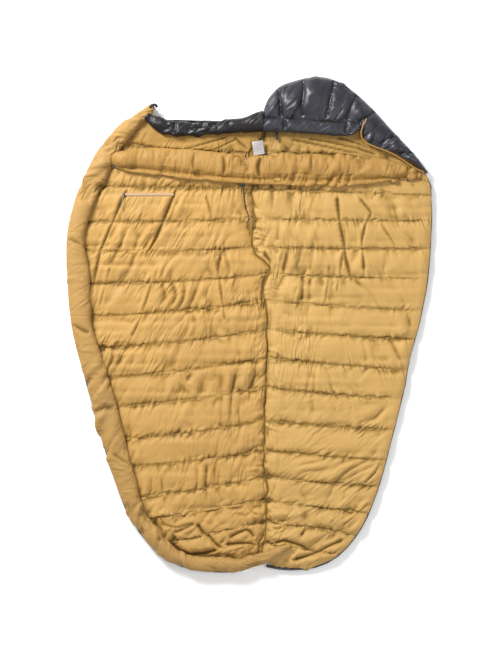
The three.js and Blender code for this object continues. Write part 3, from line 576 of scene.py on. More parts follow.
def lining(name, edge, rows, side, cols, lines, seed, top=None, sag=0.0, under=None):
    rng = np.random.default_rng(seed)
    cols = int(cols * FINE)
    plan, u = half(edge, rows, side, cols, top, inset=0.012, sag=sag)
    nv, nu = plan.shape[:2]
    f = frac(v_rows)[:, None]
    width = np.linalg.norm(plan[:, 1:] - plan[:, :-1], axis=-1).sum(1)[:, None]
    across = u[None] * width
    x, y = plan[..., 0], plan[..., 1]
    # loft over the chamber: full in the middle, pulled in at the seams and at the side seam
    body = 1 - np.abs(2 * f - 1) ** 2.3
    chamber = np.interp(v_rows, [0, 1, 2, 12, 13, 14, 16], [0.8, 1, 1, 1, 0.9, 0.75, 0.7])[:, None]
    body = body * chamber * (0.9 + 0.12 * np.clip(noise(x / 0.16, y / 0.13, rng), -1, 1))
    near_side = 1 - np.exp(-((across / 0.022) ** 1.2))
    base = 0.0280 + 0.0015 * noise(x / 0.3, y / 0.02, rng)
    crown = np.minimum(base + 0.0100 * body, 0.0425)
    z = 0.014 + (crown - 0.014) * near_side
    z[-PER:] -= (0.008 * np.linspace(0, 1, PER) ** 3)[:, None]
    for k_seam in (11, 12, 13, 14, 15):
        z -= 0.011 * np.exp(-(((y - (SIDE_Y[k_seam] + SY) / 1000) / 0.016) ** 2) - (across / 0.040) ** 2)
    z = np.maximum(z, 0.0152 - 0.0012 * np.exp(-across / 0.004))
    # the outer edge rounds over the zip tape and tucks in under itself
    k = max(4, int(round(5 * FINE)))
    for n in range(k):
        a = (n + 1) / k * math.pi
        o = 0.012 - (0.0085 if side > 0 else -0.004) * math.sin(a)
        j = nu - k + n
        q = edge.at(np.interp(v_rows, np.arange(ROWS + 1), [edge.nearest(r) for r in rows]), (o if side < 0 else -o))
        keep = np.clip(v_rows - ROWS + 1, 0, 1)[:, None]
        d = (edge.at(np.full(nv, 0.5), 0.0) * 0) + (q - plan[:, -1]) * (1 - keep)
        plan[:, j] = plan[:, -1] * 1.0 if n == k - 1 else plan[:, j] * 0 + plan[:, -1] + (d if n < k - 1 else 0)
        z[:, j] = 0.0305 + 0.0075 * math.cos(a) + (z[:, nu - k - 1] - 0.038) * (1 + math.cos(a)) / 2
    z[:, -1] = 0.0215
    target = np.dstack([plan, z])
    cap, near = to_lines(plan, lines)
    # pleats: finest along the seams, longer folds across the chambers, crumpled at the foot
    d = np.minimum(f, 1 - f)
    at_seam = np.exp(-((d / 0.18) ** 2))
    left = bump(-x, 0.10, 0.35)
    right = bump(x, 0.22, 0.36)
    foot = bump(-y, 0.70, 0.82)
    low = bump(-y, 0.20, 0.5)
    low_right = low * bump(x, 0.06, 0.2)
    left, right = left * (1 - 0.6 * low), right * (1 - low_right)
    mid = np.clip(1 - left - right - low_right, 0, 1)
    calm = np.clip(v_rows / 1.3, 0.15, 1)[:, None] if side < 0 else 1.0
    fine = left * folds(plan, -0.42, 0.019, 0.080, rng) + mid * folds(plan, -0.12, 0.018, 0.060, rng) + right * folds(plan, 0.35, 0.024, 0.090, rng) + low_right * folds(plan, -0.75, 0.022, 0.080, rng)
    tight = folds(plan, -0.6, 0.015, 0.045, rng)
    broad = left * folds(plan, -0.48, 0.042, 0.26, rng, 0.35) + mid * folds(plan, -0.05, 0.038, 0.14, rng, 0.45) + right * folds(plan, 0.32, 0.050, 0.22, rng, 0.4) + low_right * folds(plan, -0.9, 0.046, 0.16, rng, 0.45)
    broad += 0.5 * (left * facets(plan, -0.50, 0.048, 0.20, rng, 0.5) + mid * facets(plan, -0.10, 0.044, 0.12, rng, 0.5) + right * facets(plan, 0.32, 0.058, 0.20, rng, 0.5) + low_right * facets(plan, -0.95, 0.052, 0.15, rng, 0.5))
    crumple = 0.8 * facets(plan, 0.5, 0.080, 0.060, rng) + 0.7 * facets(plan, -0.5, 0.042, 0.060, rng) + 0.9 * (0.4 - np.abs(facets(plan, 0.9, 0.060, 0.040, rng))) + 0.6 * folds(plan, -0.8, 0.030, 0.09, rng, 0.4)
    patch = np.clip(0.62 + 0.75 * noise(x / 0.09, y / 0.07, rng), 0.08, 1.5)
    patch2 = np.clip(0.65 + 0.7 * noise(x / 0.14, y / 0.12, rng), 0.1, 1.5)
    amount = 1 - 0.45 * right
    relief = 0.0070 * fine * (0.45 + 0.75 * at_seam) * patch * amount * (1 - 0.5 * foot)
    relief += 0.0062 * tight * at_seam * np.clip(0.55 + 0.6 * noise(x / 0.06, y / 0.08, rng), 0, 1.4) * (0.6 + 0.6 * low)
    relief += 0.0108 * broad * (1 - 0.55 * at_seam) * (1 - foot) * patch2
    relief += 0.0150 * crumple * foot
    relief += 0.0080 * folds(plan, 1.2 if side > 0 else -1.2, 0.018, 0.055, rng) * np.exp(-((across / 0.050) ** 2)) * np.clip(0.6 + 0.7 * noise(x / 0.2, y / 0.05, rng), 0, 1.4)
    start = target.copy()
    relief *= calm * (1 - 0.75 * np.exp(-((near / 0.014) ** 2)))
    for pts, _, half_w in lines:
        if half_w > 0.004:
            continue
        qq = smooth(pts, 0.012, 0.004)
        dd = ((plan[:, :, None] - qq[None, None, ::3]) ** 2).sum(-1)
        kk = dd.argmin(2) * 3
        tan = np.gradient(qq, axis=0)
        tan /= np.linalg.norm(tan, axis=1)[:, None]
        rel = plan - qq[kk]
        sgn = rel[..., 0] * tan[kk, 1] - rel[..., 1] * tan[kk, 0]
        dist = np.sqrt(dd.min(2))
        ends = np.clip(np.minimum(kk, len(qq) - 1 - kk) / len(qq) * 6, 0, 1)
        start[..., 2] += 0.0060 * ends * np.exp(-(((dist - 0.009) / 0.008) ** 2)) * (0.25 + 0.75 * (sgn > 0))
    relief = np.where(relief > 0, relief, 0.8 * relief)
    start[..., 2] += relief * np.clip(across / 0.01, 0, 1) * np.clip((width - across) / 0.03, 0, 1)
    start[..., 2] = np.minimum(start[..., 2], cap)
    free = np.ones((nv, nu))
    seam = np.arange(0, nv, PER)
    pucker = folds(plan[seam], -0.2, 0.014, 0.05, rng)
    start[seam, :, 2] = target[seam, :, 2] + 0.0022 * pucker * near_side[seam]
    start[seam, :, 1] += 0.0018 * folds(plan[seam], 0.0, 0.022, 0.05, rng) + 0.0015 + 0.006 * foot[seam] * noise(x[seam] / 0.035, y[seam] / 0.02, rng)
    free[seam] = 0
    free[:, 0] = 0
    free[:, -1] = 0
    limit = np.minimum(cap, 0.0470)
    P = settle(start, target, free, int(26), 0.00003, 0.003, limit, 0.008, out=1.0 if side < 0 else -1.0, most=0.32)
    # painted shade: the colour is darkened in deep folds, a little along the quilting seams, on the neck rows where the
    # hood's tubes cast their shadow, along the centre seam's groove and along the listed creases
    painted_dark = 1.0 * painted_fold_shade(P, max(2, int(4 * FINE)), 0.008)
    painted_dark = np.clip(1.0 * painted_dark + 0.07 * np.exp(-((d / 0.030) ** 2)) + 0.36 * np.clip(1.6 - v_rows, 0, 1)[:, None] + 0.62 * np.exp(-((across / 0.0045) ** 2)) + 0.24 * np.exp(-((near / 0.0030) ** 2)), 0, 1)
    # painted shade where the lower chamber seams run into the centre seam
    for k_seam in (12, 13, 14, 15):
        yk = (SIDE_Y[k_seam] + SY) / 1000
        painted_dark = np.clip(painted_dark + 1.05 * np.exp(-(((y - yk) / 0.010) ** 2) - (across / 0.017) ** 2), 0, 1)
    # painted shadow along the draft tube's overhanging inner edge, patchy at the foot
    if under is not None:
        _, close = to_lines(plan, [(under, 0.0, 0.0)])
        painted_dark = np.clip(painted_dark + (0.25 + foot * np.clip(0.55 + 0.7 * noise(x / 0.035, y / 0.03, rng), 0, 1.2)) * np.exp(-((close / 0.014) ** 2)), 0, 1)
    painted_dark[:, -k:] = 0
    here = np.clip(0.42 + 0.75 * at_seam, 0, 1.1) * np.clip(0.75 + 0.55 * noise(x / 0.07, y / 0.06, rng), 0.15, 1.3) * np.clip((width - across) / 0.03, 0, 1)
    tags = {"pleat_a": left * here, "pleat_b": mid * here, "pleat_c": right * here, "pleat_d": low_right * here, "pleat_e": foot * np.clip((width - across) / 0.03, 0, 1)}
    ob = mesh(name, P, quads(nv, nu, flip=side > 0), {"painted_shade": painted_dark, **tags}, cloth_uv(target))
    return ob, P


LEFT_LINES = [
    (grid([(181, 176), (176, 190), (170, 205), (163, 222), (155, 240), (147, 254), (139, 266)]), 0.026, 0.002),
    (grid([(133, 178), (120, 205), (110, 228), (100, 252), (95, 275), (91, 300)]), 0.027, 0.002),
    (grid([(238, 246), (222, 250), (218, 268), (221, 290), (224, 312), (226, 330)]), 0.032, 0.002),
    (grid([(160, 262), (150, 290), (140, 320), (128, 345)]), 0.033, 0.001),
    (grid([(112, 262), (104, 290), (98, 312)]), 0.033, 0.001),
    (grid([(205, 192), (212, 215), (208, 232)]), 0.033, 0.001),
    (grid([(178, 362), (182, 380), (195, 392)]), 0.033, 0.001),
    (grid([(196, 522), (202, 532), (210, 538), (218, 547), (224, 549)]), 0.019, 0.002),
    (grid([(228, 540), (236, 534), (246, 530), (250, 532), (256, 540)]), 0.021, 0.002),
    (grid([(224, 545), (238, 544), (250, 544), (262, 548)]), 0.019, 0.002),
    (grid([(166, 540), (180, 552), (190, 556), (204, 554), (222, 549)]), 0.018, 0.002),
    (grid([(172, 534), (186, 528), (196, 523)]), 0.026, 0.002),
    (grid([(158, 524), (176, 528), (196, 523)]), 0.028, 0.002),
    (grid([(245, 502), (252, 512), (264, 518)]), 0.032, 0.001),
    (grid([(176, 152), (203, 144), (230, 136)]), 0.030, 0.001),
    (grid([(206, 153), (224, 145), (240, 137)]), 0.030, 0.001),
    (grid([(233, 136), (241, 143), (250, 151)]), 0.029, 0.001),
]
POCKET_LINES = [(mm([[-580, 552], [-435, 552], [-286, 552]]), 0.0345, 0.008)]
RIGHT_LINES = [
    (grid([(337, 187), (338, 205), (340, 222), (344, 240), (346, 258), (350, 275), (356, 292)]), 0.026, 0.002),
    (grid([(343, 218), (346, 240), (342, 262), (338, 285), (337, 300)]), 0.032, 0.0015),
    (grid([(354, 190), (364, 203), (372, 213), (366, 224), (362, 240), (364, 262), (365, 280)]), 0.030, 0.002),
    (grid([(378, 214), (384, 228), (392, 240), (398, 250)]), 0.033, 0.001),
    (grid([(330, 262), (328, 285), (324, 310)]), 0.033, 0.001),
    (grid([(276, 240), (284, 250), (280, 264)]), 0.032, 0.0015),
    (grid([(262, 250), (270, 262), (268, 276), (262, 290)]), 0.020, 0.002),
    (grid([(348, 538), (330, 546), (314, 554), (302, 558), (290, 561)]), 0.021, 0.002),
    (grid([(268, 526), (278, 530), (284, 526)]), 0.025, 0.002),
    (grid([(270, 545), (284, 541), (302, 547), (320, 552)]), 0.021, 0.002),
    (grid([(300, 537), (306, 531), (318, 530)]), 0.027, 0.002),
    (grid([(372, 500), (356, 516), (340, 528)]), 0.032, 0.001),
    (grid([(384, 455), (376, 472), (362, 486)]), 0.033, 0.001),
    (grid([(283, 138), (310, 143), (340, 150), (368, 155)]), 0.030, 0.001),
    (grid([(300, 137), (330, 142), (360, 149), (384, 157)]), 0.031, 0.001),
    (grid([(334, 136), (354, 142), (374, 149)]), 0.032, 0.001),
]
top_lining, TOP_P = lining("quilted_lining_top", left_edge, LEFT_ROWS, -1, 168, LEFT_LINES + POCKET_LINES, 3, top=Line(SIDE_TUBE[::-1], 0.015), sag=0.013, under=TUBE_IN)
back_lining, BACK_P = lining("quilted_lining_back", right_edge, RIGHT_ROWS, 1, 150, RIGHT_LINES, 8, top=hood_low, sag=0.004)
TOP_FILLS = [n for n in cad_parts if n.startswith("top_") and "down_fill" in n]
BACK_FILLS = [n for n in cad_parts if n.startswith("back_") and "down_fill" in n]
finish_soft(top_lining, M_LINING, ["top_lining", "pocket_bag"] + TOP_FILLS)
finish_soft(back_lining, M_LINING_BACK, ["back_lining"] + BACK_FILLS)


# ------------------------------------------------------------------ the outer shell: flat where it lies, quilted, turned up to the zip
def shell(name, edge, rows, side, cols, seed, top=None):
    rng = np.random.default_rng(seed)
    cols = int(cols * FINE)
    plan, u = half(edge, rows, side, cols, top, inset=0.03)
    # the side seam is straight here, where the halves are sewn together
    seam_x = (60 + SX) / 1000
    plan[..., 0] += ((seam_x - plan[:, :1, 0]) * (1 - u[None]) ** 3)
    nv, nu = plan.shape[:2]
    f = frac(v_rows)[:, None]
    d = np.minimum(f, 1 - f)
    z = 0.0008 + 0.0100 * (1 - 2 * d) ** 4 + 0.0012 * np.clip(field((nv, nu), (8, 4), rng), 0, 2) + 0.0008 * np.clip(field((nv, nu), (20, 9), rng), 0, 2)
    edge_u = np.exp(-(((1 - u[None]) * 0.75 / 0.035) ** 2))
    z = z + 0.004 * edge_u
    t = np.interp(v_rows, np.arange(ROWS + 1), [edge.nearest(r) for r in rows])
    s = 1 if side < 0 else -1
    rim = []
    for inset, zz in ((0.020, 0.0035), (0.0140, 0.008), (0.0112, 0.013), (0.0104, 0.017), (0.0104, 0.0196)):
        e = edge.at(t, s * inset)
        if top is not None:
            fade = np.clip(1 - v_rows / 2, 0, 1)[:, None]
            e = e + (plan[0, -1] - e[0])[None] * fade * 0.0
        wob = 0.0015 * np.sin(v_rows * 2 * np.pi * 5 + 3 * np.sin(v_rows * 3)) * (1 if zz < 0.017 else 0)
        rim.append(np.concatenate([e + 0 * wob[:, None], np.full((nv, 1), zz)], 1))
    P = np.concatenate([np.dstack([plan, z]), np.stack(rim, 1)], 1)
    nu = P.shape[1]
    # painted shade in the shell's quilting grooves, none on the turned-up rim
    painted_dark = np.clip(np.concatenate([0.6 * np.exp(-((d / 0.03) ** 2)) * np.ones((nv, nu - 5)), np.zeros((nv, 5))], 1), 0, 1)
    ob = mesh(name, P, quads(nv, nu, flip=side > 0), {"painted_shade": painted_dark}, cloth_uv(P))
    return ob


ob = shell("quilted_shell_top", left_edge, LEFT_ROWS, -1, 150, 21)
finish_soft(ob, M_SHELL, ["top_outer_shell"])
ob = shell("quilted_shell_back", right_edge, RIGHT_ROWS, 1, 130, 22, top=hood_low)
finish_soft(ob, M_SHELL, ["back_outer_shell"])


# ------------------------------------------------------------------ padded tubes: a closed section swept along a line
def tube(name, line, t0, t1, section, step, around, seed, lines=(), push=0.00002, ripple=0.002, bend=0.003, steps=26, extra_pin=None, mat=M_TUBE, limit=0.2, outward=1.0, lean=0.0, size=(0.016, 0.07), most=0.25):
    """section(t) gives, for shares of the way round, the offset to the line's left and the height. It starts and ends underneath."""
    rng = np.random.default_rng(seed)
    nv = max(12, int(line.length * (t1 - t0) / (step / FINE)))
    nu = max(14, int(around * FINE))
    t = np.linspace(t0, t1, nv)
    off, z = section(t, np.linspace(0, 1, nu))
    plan = line.at(t[:, None] + np.zeros((1, nu)), off)
    target = np.dstack([plan, z])
    cap, near = to_lines(plan, lines)
    start = target.copy()
    n = normals(np.moveaxis(target, -1, 0)) * outward
    n = np.moveaxis(n, 0, -1)
    flat = cloth_uv(target)[..., ::-1]
    rip = ripple * (folds(flat, lean, size[0], size[1], rng) + 0.9 * folds(flat, -lean * 0.5, size[0] * 2.4, size[1] * 1.5, rng) + 0.9 * facets(flat, lean, size[0] * 1.7, size[1] * 0.8, rng))
    rip *= np.clip(0.6 + 0.75 * noise(flat[..., 0] / 0.08, flat[..., 1] / 0.1, rng), 0.08, 1.5)
    rip *= np.clip(np.minimum(t - t0, t1 - t) / 0.03, 0.1, 1)[:, None]
    start += n * rip[..., None]
    start[..., 2] = np.maximum(np.minimum(start[..., 2], cap), 0.0015)
    free = np.ones((nv, nu))
    free[:, 0] = free[:, -1] = 0
    free[0] = free[-1] = 0
    if extra_pin is not None:
        free = extra_pin(free, target, t)
    P = settle(start, target, free, steps, push, bend, np.minimum(cap, limit), 0.0015, out=outward, most=most)
    k = max(2, int(4 * FINE))
    # painted shade in the tube's deep folds on its upward-facing side and along its creases
    painted_dark = 0.8 * painted_fold_shade(P, k, 0.010) * np.clip((n[..., 2] - 0.1) * 3, 0, 1)
    painted_dark = np.clip(painted_dark + 0.4 * np.exp(-((near / 0.006) ** 2)), 0, 1)
    # close the two ends with a fan
    V = P.reshape(-1, 3)
    F = quads(nv, nu, flip=outward < 0)
    mids = np.stack([P[0].mean(0), P[-1].mean(0)])
    V = np.concatenate([V, mids])
    a = np.arange(nu - 1)
    caps = np.concatenate([np.stack([a + 1, a, np.full(nu - 1, nv * nu), np.full(nu - 1, nv * nu)], 1), np.stack([(nv - 1) * nu + a, (nv - 1) * nu + a + 1, np.full(nu - 1, nv * nu + 1), np.full(nu - 1, nv * nu + 1)], 1)])
    me_f = [tuple(q) for q in F.tolist()] + [tuple(q[:3]) for q in caps.tolist()]
    me = bpy.data.meshes.new(name)
    me.from_pydata([tuple(p) for p in V.tolist()], [], me_f)
    me.validate()
    me.polygons.foreach_set("use_smooth", np.ones(len(me.polygons), bool))
    at = me.attributes.new("painted_shade", "FLOAT", "POINT")
    at.data.foreach_set("value", np.r_[painted_dark.ravel(), 0, 0].astype(np.float32))
    at = me.attributes.new("pleat_a", "FLOAT", "POINT")
    at.data.foreach_set("value", np.ones(len(V), np.float32))
    uv = me.uv_layers.new(name="cloth")
    coords = np.concatenate([cloth_uv(target).reshape(-1, 2), np.zeros((2, 2))])
    idx = np.zeros(len(me.loops), np.int32)
    me.loops.foreach_get("vertex_index", idx)
    uv.data.foreach_set("uv", coords[idx].astype(np.float32).ravel())
    ob = bpy.data.objects.new(name, me)
    bpy.context.scene.collection.objects.link(ob)
    return ob, P


def oval(points, samples=200):
    """A closed section through (offset, height) points, as a function of the share of the way round."""
    p = np.array(points, float)
    q = smooth(np.concatenate([p, p[:1]]), 0.0001, 0.0005)
    s = np.r_[0, np.cumsum(np.linalg.norm(np.diff(q, axis=0), axis=1))]
    return lambda a: (np.interp(a * s[-1], s, q[:, 0]), np.interp(a * s[-1], s, q[:, 1]))


SHARE = np.linspace(0, 1, 241)


def shape(points):
    """A rounded closed section in unit space; points run from underneath, round and back."""
    p = np.array(points + points[:1], float)
    n = len(p) - 1
    k = np.linspace(0, n, 241)
    i = np.minimum(k.astype(int), n - 1)
    f = (k - i)[:, None]
    P0, P1, P2, P3 = (p[(i + d) % n] for d in (-1, 0, 1, 2))
    q = 0.5 * (2 * P1 + (P2 - P0) * f + (2 * P0 - 5 * P1 + 4 * P2 - P3) * f**2 + (3 * P1 - P0 - 3 * P2 + P3) * f**3)
    s = np.r_[0, np.cumsum(np.linalg.norm(np.diff(q, axis=0), axis=1))]
    s /= s[-1]
    return lambda a: np.stack([np.interp(a, s, q[:, 0]), np.interp(a, s, q[:, 1])], -1)


# draft tube: from underneath, out to the zip, over, and back under its free inner edge
tube_shape = shape([(0.5, 0.02), (0.14, 0.0), (0.0, 0.30), (0.12, 0.74), (0.45, 1.0), (0.80, 0.90), (0.99, 0.52), (0.93, 0.12)])
OUTER = Line(np.concatenate([LEFT_EDGE[:-2], mm([[-48, -1052], [40, -1030], [100, -1000], [150, -965], [178, -946]])]), 0.025)
INNER = Line(np.concatenate([TUBE_IN[:-2], mm([[30, -973], [100, -948], [150, -930], [180, -930]])]), 0.02)


def tube_section(t, a):
    o = OUTER.at(t, 0.0015)
    i = INNER.at(np.interp(t, TT, TI))
    w = np.linalg.norm(i - o, axis=1)
    q = tube_shape(a)
    off = 0.0015 + w[:, None] * q[None, :, 0]
    e = np.clip(np.minimum((t + 0.006) / 0.05, (1.004 - t) / 0.05), 0.22, 1) ** 0.6
    top, low = 0.0425 + 0.027 * e, 0.0290 + 0 * e
    z = low[:, None] + (top - low)[:, None] * q[None, :, 1]
    z = np.where((q[None, :, 0] < 0.35) & (q[None, :, 1] < 0.5), z - 0.010 * (1 - q[None, :, 0] / 0.35) * (1 - q[None, :, 1] / 0.5), z)
    return off, z


# where the inner edge lies against the outer one
TT = np.linspace(0, 1, 200)
TI = np.maximum.accumulate([INNER.nearest(p) for p in OUTER.at(TT)])
TUBE_LINES = [
    (grid([(66, 238), (78, 243), (90, 249)]), 0.062, 0.001),
    (grid([(70, 322), (82, 330), (92, 334)]), 0.057, 0.001),
    (grid([(112, 452), (124, 460), (136, 466)]), 0.060, 0.001),
    (grid([(158, 540), (166, 535), (176, 538)]), 0.059, 0.001),
]
ob, _ = tube("padded_draft_tube", OUTER, 0.0, 1.0, tube_section, 0.0052, 44, 5, lines=TUBE_LINES, ripple=0.0070, outward=-1.0, lean=0.7, size=(0.024, 0.10), push=0.00003)
finish_soft(ob, M_TUBE, ["draft_tube_cover", "draft_tube_down_fill"])

# draft collar: one bulge, then the narrow cord channel along its lower edge
collar_shape = shape([(0.45, 0.0), (0.12, 0.02), (0.0, 0.22), (0.10, 0.66), (0.36, 1.0), (0.62, 0.88), (0.78, 0.36), (0.83, 0.33), (0.90, 0.58), (0.985, 0.45), (0.97, 0.08), (0.80, 0.0)])
collar_top = Line(grid([(106, 158), (120, 151), (150, 147.5), (192, 149.5), (236, 155), (264, 156), (280, 154), (330, 154), (380, 158), (404, 165), (422, 174)]), 0.02)
collar_low = Line(grid([(106, 168), (120, 172), (144, 174.5), (192, 180), (236, 183.5), (264, 185), (300, 186.5), (340, 186.5), (380, 184), (404, 182), (422, 180)]), 0.02)


def collar_section(t, a):
    o, i = collar_top.at(t), collar_low.at(t)
    w = np.linalg.norm(i - o, axis=1)
    q = collar_shape(a)
    off = -w[:, None] * q[None, :, 0]
    e = np.clip(np.minimum((t + 0.003) / 0.04, (1.003 - t) / 0.10), 0.15, 1) ** 0.7
    z = 0.0325 + (0.010 * np.clip(q[None, :, 1] * 4, 0, 1) + 0.026 * q[None, :, 1]) * e[:, None]
    return off, z


COLLAR_LINES = [
    (grid([(195, 150), (193, 165), (196, 180)]), 0.059, 0.001),
    (grid([(223, 153), (225, 168), (222, 184)]), 0.058, 0.001),
    (grid([(244, 157), (246, 170), (243, 186)]), 0.057, 0.001),
    (grid([(262, 155), (258, 168), (261, 187)]), 0.052, 0.002),
]


def collar_pin(free, target, t):
    a = np.linspace(0, 1, target.shape[1])
    q = collar_shape(a)
    k = np.argmin(np.abs(q[:, 0] - 0.815) + (q[:, 1] < 0.2) * 9)
    free[:, k] = 0
    return free


SPLIT = collar_top.nearest(((60 + SX) / 1000, 0.72))
for word, a, b, nodes, seed in (("top", 0.0, SPLIT, ["top_draft_collar"], 11), ("back", SPLIT, 1.0, ["back_draft_collar"], 12)):
    ob, _ = tube("padded_collar_" + word, collar_top, a, b, collar_section, 0.0045, 56, seed, lines=COLLAR_LINES, ripple=0.0110 if word == "back" else 0.0070, extra_pin=collar_pin, push=0.00003, lean=0.12, size=(0.022, 0.07) if word == "back" else (0.030, 0.09), most=0.4)
    finish_soft(ob, M_COLLAR, nodes)

# hood rim tube and the dark tube along the left part's top edge
round_shape = shape([(0.0, -1.0), (-0.75, -0.72), (-1.0, 0.0), (-0.72, 0.72), (0.0, 1.0), (0.72, 0.72), (1.0, 0.0), (0.75, -0.72)])


def round_section(half, z0, h, ends, rise=0.0, lift=0.0, deep=None):
    def section(t, a):
        q = round_shape(a)
        e = np.clip(np.minimum((t + 0.01) / ends[0] if ends[0] else 1, (1.01 - t) / ends[1] if ends[1] else 1), 0.35, 1) ** 0.6
        o = half * e[:, None] * -q[None, :, 0]
        if rise:
            o = np.where(o > 0, o * (1 + rise * bump(t, 0.80, 1.0)[:, None]), o)
        up = q[None, :, 1]
        z = z0 + h * e[:, None] * up + lift * bump(t, 0.66, 1.0)[:, None] * np.clip(up, 0, 1)
        if deep:
            far = deep[0] + (h - deep[0]) * bump(t, deep[1], deep[2])[:, None]
            z = np.where(up < 0, z0 + far * up * (0.3 + 0.7 * e[:, None]), z)
        return o, z

    return section


rim_line, side_line = Line(RIM, 0.02), Line(SIDE_TUBE, 0.015)
RIM_LINES = [(grid([(x, 118), (x + 2, 126), (x - 1, 136)]), 0.068, 0.001) for x in (283, 345)]
ob, _ = tube("padded_hood_rim", rim_line, 0.0, 1.0, round_section(0.030, 0.064, 0.0145, (0, 0.10), deep=(0.058, 0.04, 0.14)), 0.0045, 34, 31, ripple=0.0060, lines=RIM_LINES, mat=M_HOOD, push=0.00003, lean=0.5, size=(0.020, 0.07))
finish_soft(ob, M_HOOD, ["hood_rim_tube"])
SIDE_LINES = [(grid([(x, 118), (x + 3, 126), (x - 1, 136)]), 0.060, 0.001) for x in (173,)]
ob, _ = tube("padded_hood_side", side_line, 0.0, 1.0, round_section(0.030, 0.050, 0.022, (0.12, 0), 0.9, 0.0075, (0.044, 1.0, 1.1)), 0.0045, 34, 32, ripple=0.0060, lines=SIDE_LINES, mat=M_BAND, push=0.00003, lean=0.6, size=(0.020, 0.07))
finish_soft(ob, M_BAND, ["hood_side_tube"])


# ------------------------------------------------------------------ hood: the shell over the top, the pad under it, and the lining inside
def hood(name, top_side, seed):
    rng = np.random.default_rng(seed)
    nu, nv = int(190 * FINE), int(56 * FINE)
    u, v = np.linspace(0, 1, nu), np.linspace(0, 1, nv)
    a, b = hood_low.at(u), hood_top.at(u)
    plan = a[None] + (b - a)[None] * v[:, None, None]
    rise = np.sin(np.pi * np.clip(u * 1.25 + 0.06, 0, 1)) ** 0.7
    rise = np.maximum(rise, 0.28 * (u > 0.5))
    low = 0.046 + 0.018 * rise
    if top_side:
        prof = np.maximum(np.sin(np.pi * (0.16 + 0.84 * v)), 0) ** 0.5
        z = (0.034 + (0.022 + 0.036 * rise[None]) * prof[:, None]) * 1.0
        z = z * np.minimum(1, 0.75 + 4 * (1 - v[:, None])) + 0.0
        z = np.maximum(z, 0.030)
    else:
        z = 0.0006 + 0.0285 * v[:, None] ** 10 + 0 * u[None]
    target = np.dstack([plan, z])
    seams = grid([(281, 108), (303, 100), (329, 102), (349, 108), (362, 116), (392, 140), (410, 155)])
    at = [hood_low.nearest(s) for s in grid([(281, 120), (301, 120), (325, 121), (345, 122), (357, 124), (376, 147), (396, 155)])]
    top_at = [hood_top.nearest(s) for s in grid([(281, 90), (304, 78), (334, 80), (356, 94), (376, 110), (398, 133), (414, 152)])]
    lines = [(np.stack([hood_low.at(p), 0.5 * (hood_low.at(p) + hood_top.at(q)), hood_top.at(q)]), 0.0, 0.001) for p, q in zip(at, top_at)]
    cap, near = to_lines(plan, lines)
    start = target.copy()
    if top_side:
        groove = 0.011 * np.exp(-((near / 0.009) ** 2))
        start[..., 2] -= groove
        start[..., 2] += 0.0045 * folds(plan, -0.6, 0.018, 0.10, rng) * np.clip(0.6 + 0.8 * noise(plan[..., 0] / 0.08, plan[..., 1] / 0.08, rng), 0.1, 1.5) + 0.0060 * folds(plan, -0.45, 0.045, 0.14, rng)
        limit = np.maximum(target[..., 2] - 0.010 + np.maximum(0, near - 0.0015) * 1.2, 0.03)
        limit = np.minimum(limit, 0.094)
        free = np.ones((nv, nu))
        free[0] = free[-1] = 0
        free[:, 0] = free[:, -1] = 0
        start[0, :, 2] = target[0, :, 2]
        P = settle(start, target, free, 26, 0.00003, 0.003, limit)
        # painted shade in the hood's deep folds and along its radial seams
        painted_dark = np.clip(painted_fold_shade(P, max(2, int(4 * FINE)), 0.010) + 0.8 * np.exp(-((near / 0.004) ** 2)), 0, 1)
    else:
        start[..., 2] += (0.0015 * np.abs(field((nv, nu), (5, 4), rng)) + 0.006 * np.exp(-((near / 0.012) ** 2))) * (1 - v[:, None] ** 6)
        # painted shade along the back pad's seams
        P, painted_dark = start, 0.5 * np.exp(-((near / 0.004) ** 2))
    return mesh(name, P, quads(nv, nu, flip=not top_side), {"painted_shade": painted_dark, "pleat_a": np.ones(painted_dark.shape)}, cloth_uv(target)), P


ob, HOOD_P = hood("quilted_hood", True, 41)
finish_soft(ob, M_HOOD, ["hood_upper_shell"], blend=False, body="back_panel")
ob, HOOD_B = hood("quilted_hood_back", False, 42)
finish_soft(ob, M_HOOD, ["hood_back_pad"], blend=False, body="back_panel")
# the lining of the hood's inside: a floor a little over the back pad, and a ceiling a little under the shell
HOOD_P = HOOD_P[: int(HOOD_P.shape[0] * 0.86)]
nv, nu = HOOD_P.shape[:2]
rng = np.random.default_rng(43)
vv = np.linspace(0, 1, nv)[:, None]
floor_z = 0.033 + 0.003 * field((nv, nu), (14, 12), rng) * (1 - vv)
roof_z = np.maximum(HOOD_P[..., 2] - 0.004 - 0.018 * np.sin(np.pi * np.clip(vv, 0, 1)), floor_z + 0.001)
inside = np.concatenate([np.dstack([HOOD_P[..., :2], floor_z]), np.dstack([HOOD_P[..., :2], roof_z])[::-1]], 0)
ob = mesh("hood_inner_lining", inside, quads(2 * nv, nu), {"painted_shade": np.zeros(2 * nv * nu)}, cloth_uv(inside))
finish_soft(ob, M_LINING, [], blend=False, body="back_panel")


# ------------------------------------------------------------------ small things
def cord_mesh(name, pts, radius, sides=14, per=0.0012, mat=M_CORD, wave=0.0):
    q = smooth(pts, 0.004, 0.001)
    d = np.gradient(q, axis=0)
    d /= np.linalg.norm(d, axis=1)[:, None]
    up = np.array([0, 0, 1.0])
    s = np.cross(d, up)
    s /= np.linalg.norm(s, axis=1)[:, None] + 1e-9
    n = np.cross(s, d)
    a = np.linspace(0, 2 * np.pi, sides, endpoint=False)
    V = q[:, None] + radius * (np.cos(a)[None, :, None] * s[:, None] + np.sin(a)[None, :, None] * n[:, None])
    ob = mesh(name, V, quads(len(q), sides, wrap=True), {"painted_shade": np.zeros(len(q) * sides)})
    ob.data.materials.append(mat)
    return ob, q


